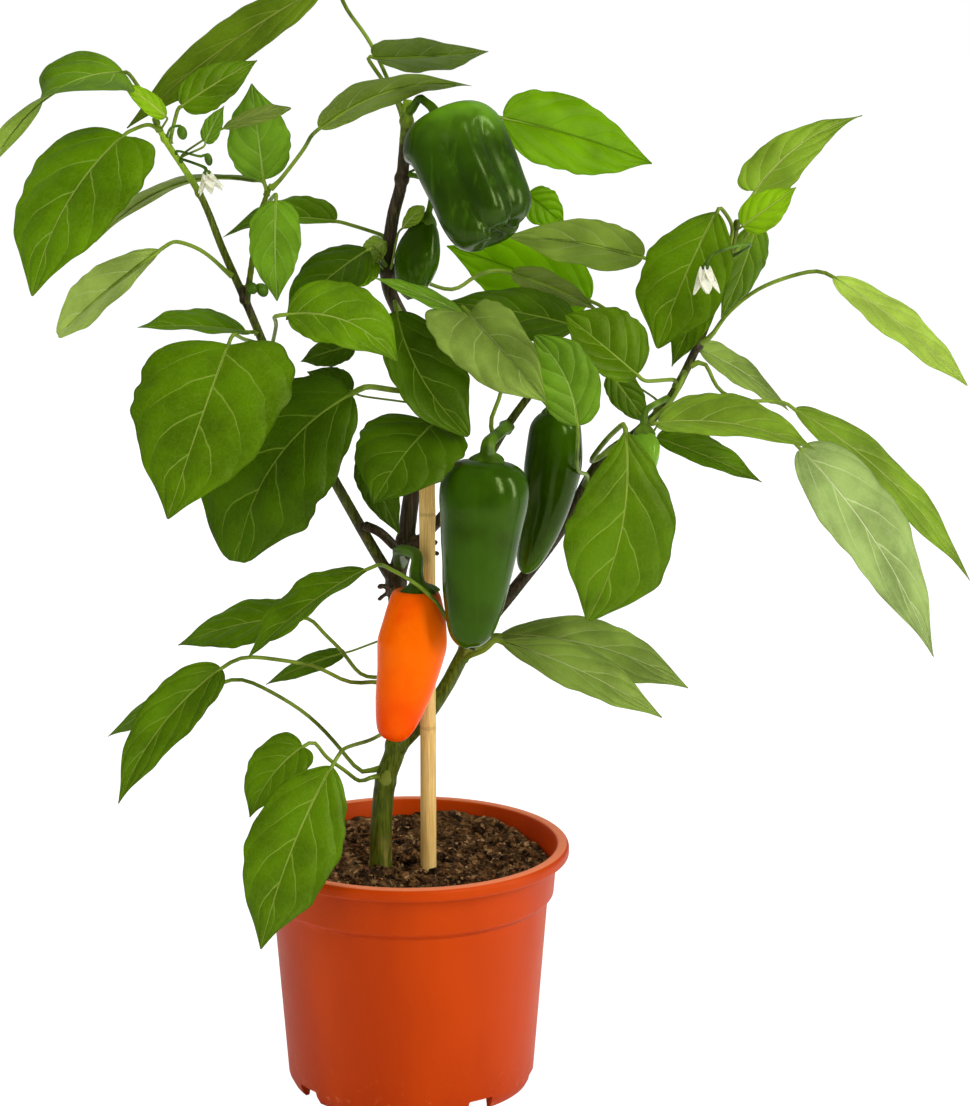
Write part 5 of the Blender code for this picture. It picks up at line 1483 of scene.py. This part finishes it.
def fruit_stalk(name, node, branch, height, top, tip, calyx, thickness, vias=(), bend=(0, 0, 0),
                finish=green_stalk):
    """A stalk that leaves the stem, bends over and flares into the calyx on a fruit's top."""
    top = Vector(top)
    middle = (top + Vector(tip)) / 2 + Vector(bend)
    into = (middle - top).normalized()
    neck = top - into * 0.0048
    first = Vector(vias[0]) if vias else neck
    foot, away = leave_stem(branch, height, first, 0.3)
    route = stalk_route(foot, away, vias, neck, into, STALK_RINGS)
    radii = [
        thickness * (0.90 + 0.35 * math.exp(-i / 1.6) + 0.30 * (i / STALK_RINGS) ** 5)
        for i in range(STALK_RINGS + 1)
    ]
    frames = carried_frames(route, Vector((1.0, 0.2, 0.0)))
    last_turn = frames[-1].to_3x3().to_4x4()
    for back, share, _ in CALYX:
        frames.append(Matrix.Translation(top - into * back) @ last_turn)
        radii.append(share * calyx)
    teeth = [0.0] * (STALK_RINGS + 1) + [tooth for _, _, tooth in CALYX]
    bm = bmesh.new()
    grow_tube(
        bm, frames, radii, 36,
        lambda angle, ring: 1 + 0.07 * math.cos(5 * angle) * (teeth[ring] == 0)
        + teeth[ring] * math.cos(CALYX_TEETH * angle + 0.4 * math.sin(angle)),
    )
    bmesh.ops.recalc_face_normals(bm, faces=bm.faces)
    add_piece(name, bm, [node], [finish], sharp=75)


fruit_stalk("bell_pepper_hanger", "bell_pepper_stalk", "main", 0.522, (0.0165, -0.011, 0.5185),
            (0.0450, -0.038, 0.463), 0.009, 0.0022,
            vias=[(0.0065, 0.000, 0.5285), (0.0090, -0.004, 0.5275)])
fruit_stalk("long_pepper_hanger", "long_pepper_stalk", "middle", 0.361, (0.041, -0.050, 0.350),
            (0.032, -0.062, 0.256), 0.009, 0.0032, bend=(0.0005, 0, 0))
fruit_stalk("orange_pepper_hanger", "orange_pepper_stalk", "main", 0.284, (0.0055, -0.037, 0.279),
            (-0.0085, -0.042, 0.200), 0.0100, 0.0032,
            vias=[(-0.005, -0.012, 0.295), (0.005, -0.026, 0.2955)], bend=(0.012, 0, 0))
fruit_stalk("curved_pepper_hanger", "curved_pepper_stalk", "middle", 0.388, (0.077, 0.000, 0.366),
            (0.060, 0.002, 0.279), 0.007, 0.0022, bend=(0.010, 0, 0.002))
fruit_stalk("small_pepper_hanger", "small_pepper", "main", 0.488, (0.010, 0.006, 0.465),
            (0.000, 0.004, 0.424), 0.0050, 0.0014, vias=[(0.012, 0.010, 0.484)])
fruit_stalk("young_pepper_hanger", "young_pepper", "right", 0.371, (0.122, -0.020, 0.359),
            (0.122, -0.026, 0.335), 0.0055, 0.0018, vias=[(0.124, -0.012, 0.370)],
            finish=pale_stalk)


# ------------------------------------------------------------------ the flowers and buds
# Small nodding white flowers with pointed petals about a pale yellow cone of anthers, and round
# green buds on thin curved stalks, all at the forks near the branch tips.
PETALS = 6
FLOWER_STALK_RINGS = 10


def petal_finish():
    """Thin white petals, cream in cloudy patches, that let a little light through."""
    made, tree, output = new_material("petal")
    cloudy = speckle(tree, 500.0, 3.0)
    cream, white = linear(238, 236, 214), linear(250, 250, 244)
    colour = mixed(tree, fade(tree, cloudy, 0.35, 0.7), cream, white)
    thin_cover(
        tree, output, 0.3,
        {"Base Color": colour, "Roughness": 0.6, "Normal": relief(tree, cloudy, 0.3, 0.0003)},
        {"Color": linear(244, 244, 220)},
    )
    return made


petal_white = petal_finish()
anther_yellow = stalk_skin("anthers", linear(226, 214, 130), linear(190, 176, 90))
bud_green = stalk_skin("bud_green", linear(80, 118, 20), linear(40, 66, 6))


def thin_stalk(bm, branch, height, vias, end, into, radius, finish_index):
    """A flower's thread-like stalk from the stem to its calyx."""
    first = Vector(vias[0]) if vias else end
    foot, away = leave_stem(branch, height, first, 0.6)
    route = stalk_route(foot, away, vias, end, into, FLOWER_STALK_RINGS)
    radii = [
        radius * (1 + 0.6 * math.exp(-i) + 0.5 * (i / FLOWER_STALK_RINGS) ** 4)
        for i in range(FLOWER_STALK_RINGS + 1)
    ]
    tube = grow_tube(bm, carried_frames(route, Vector((1.0, 0.2, 0.1))), radii, 10)
    finish_faces(tube, finish_index)


def flower(name, node, branch, height, centre, tip, reach, opening, narrow, vias=()):
    """A nodding flower: opening is how far its petals lean out, narrow how slim they are."""
    rng = random.Random(len(name) + 3)
    centre, tip = Vector(centre), Vector(tip)
    into = (tip - centre).normalized()
    seat = seat_on(centre, into)
    bm = bmesh.new()
    long = (tip - centre).length * 1.02
    for number in range(PETALS):
        lean = opening * rng.uniform(0.75, 1.15)
        corners = bmesh.ops.create_grid(bm, x_segments=10, y_segments=6, size=1.0)["verts"]
        for corner in corners:
            s = (corner.co.x + 1) / 2
            width = math.sin(math.pi * min(1, 0.18 + 0.82 * s)) ** 0.7
            aside = corner.co.y * narrow * reach * width
            out = 0.0012 + reach * lean * s**1.6
            corner.co = (out, aside, long * s - 0.3 * abs(aside))
        round_about = Matrix.Rotation(math.tau * (number + rng.uniform(-0.1, 0.1)) / PETALS, 4, "Z")
        bmesh.ops.transform(bm, matrix=seat @ round_about, verts=corners)
    bmesh.ops.recalc_face_normals(bm, faces=bm.faces)
    bmesh.ops.solidify(bm, geom=list(bm.faces), thickness=0.0002)
    cone = bmesh.ops.create_cone(
        bm, cap_ends=True, segments=16, radius1=0.0016, radius2=0.0007, depth=long * 0.6
    )["verts"]
    bmesh.ops.transform(bm, matrix=seat @ Matrix.Translation((0, 0, long * 0.35)), verts=cone)
    finish_faces(cone, 1)
    cup = bmesh.ops.create_uvsphere(bm, u_segments=16, v_segments=10, radius=0.0024)["verts"]
    bmesh.ops.transform(bm, matrix=seat @ Matrix.Diagonal((1, 1, 0.7, 1)), verts=cup)
    finish_faces(cup, 2)
    thin_stalk(bm, branch, height, vias, centre - into * 0.001, into, 0.0007, 2)
    add_piece(name, bm, [node], [petal_white, anther_yellow, bud_green], sharp=60)


flower("left_flower", "flower_left", "left", 0.496, (-0.1015, -0.012, 0.4915),
       (-0.099, -0.015, 0.4825), 0.0085, 0.80, 0.34)
flower("right_flower", "flower_right", "right", 0.446, (0.151, -0.038, 0.447),
       (0.152, -0.040, 0.434), 0.0075, 0.80, 0.50,
       vias=[(0.176, -0.014, 0.455), (0.170, -0.032, 0.458), (0.157, -0.038, 0.455)])

# Each bud: its branch and height there, its top and tip, its radius, and a bend of its stalk
BUDS = (
    ("left", 0.508, (-0.1145, -0.008, 0.514), (-0.1135, -0.009, 0.5095), 0.0026,
     (-0.120, -0.006, 0.514)),
    ("left", 0.500, (-0.101, -0.013, 0.501), (-0.100, -0.013, 0.4965), 0.0020,
     (-0.104, -0.012, 0.500)),
    ("left", 0.425, (-0.0800, -0.006, 0.4335), (-0.0790, -0.007, 0.4300), 0.0027),
    ("left", 0.427, (-0.0755, -0.004, 0.4325), (-0.0735, -0.005, 0.4285), 0.0030),
    ("right", 0.448, (0.150, -0.005, 0.450), (0.147, -0.006, 0.445), 0.0018,
     (0.155, -0.004, 0.453)),
)
bud_bm = bmesh.new()
for branch, height, top, tip, radius, *vias in BUDS:
    top, tip = Vector(top), Vector(tip)
    into = (tip - top).normalized()
    shape = Matrix.Diagonal((radius, radius, (tip - top).length * 0.55 + radius * 0.4, 1))
    seat = seat_on((top + tip) / 2, into)
    ball = bmesh.ops.create_uvsphere(bud_bm, u_segments=20, v_segments=14, radius=1.0)["verts"]
    bmesh.ops.transform(bud_bm, matrix=seat @ shape, verts=ball)
    thin_stalk(bud_bm, branch, height, vias, top, into, 0.0006, 0)
add_piece("flower_buds", bud_bm, [], [bud_green], sharp=180)
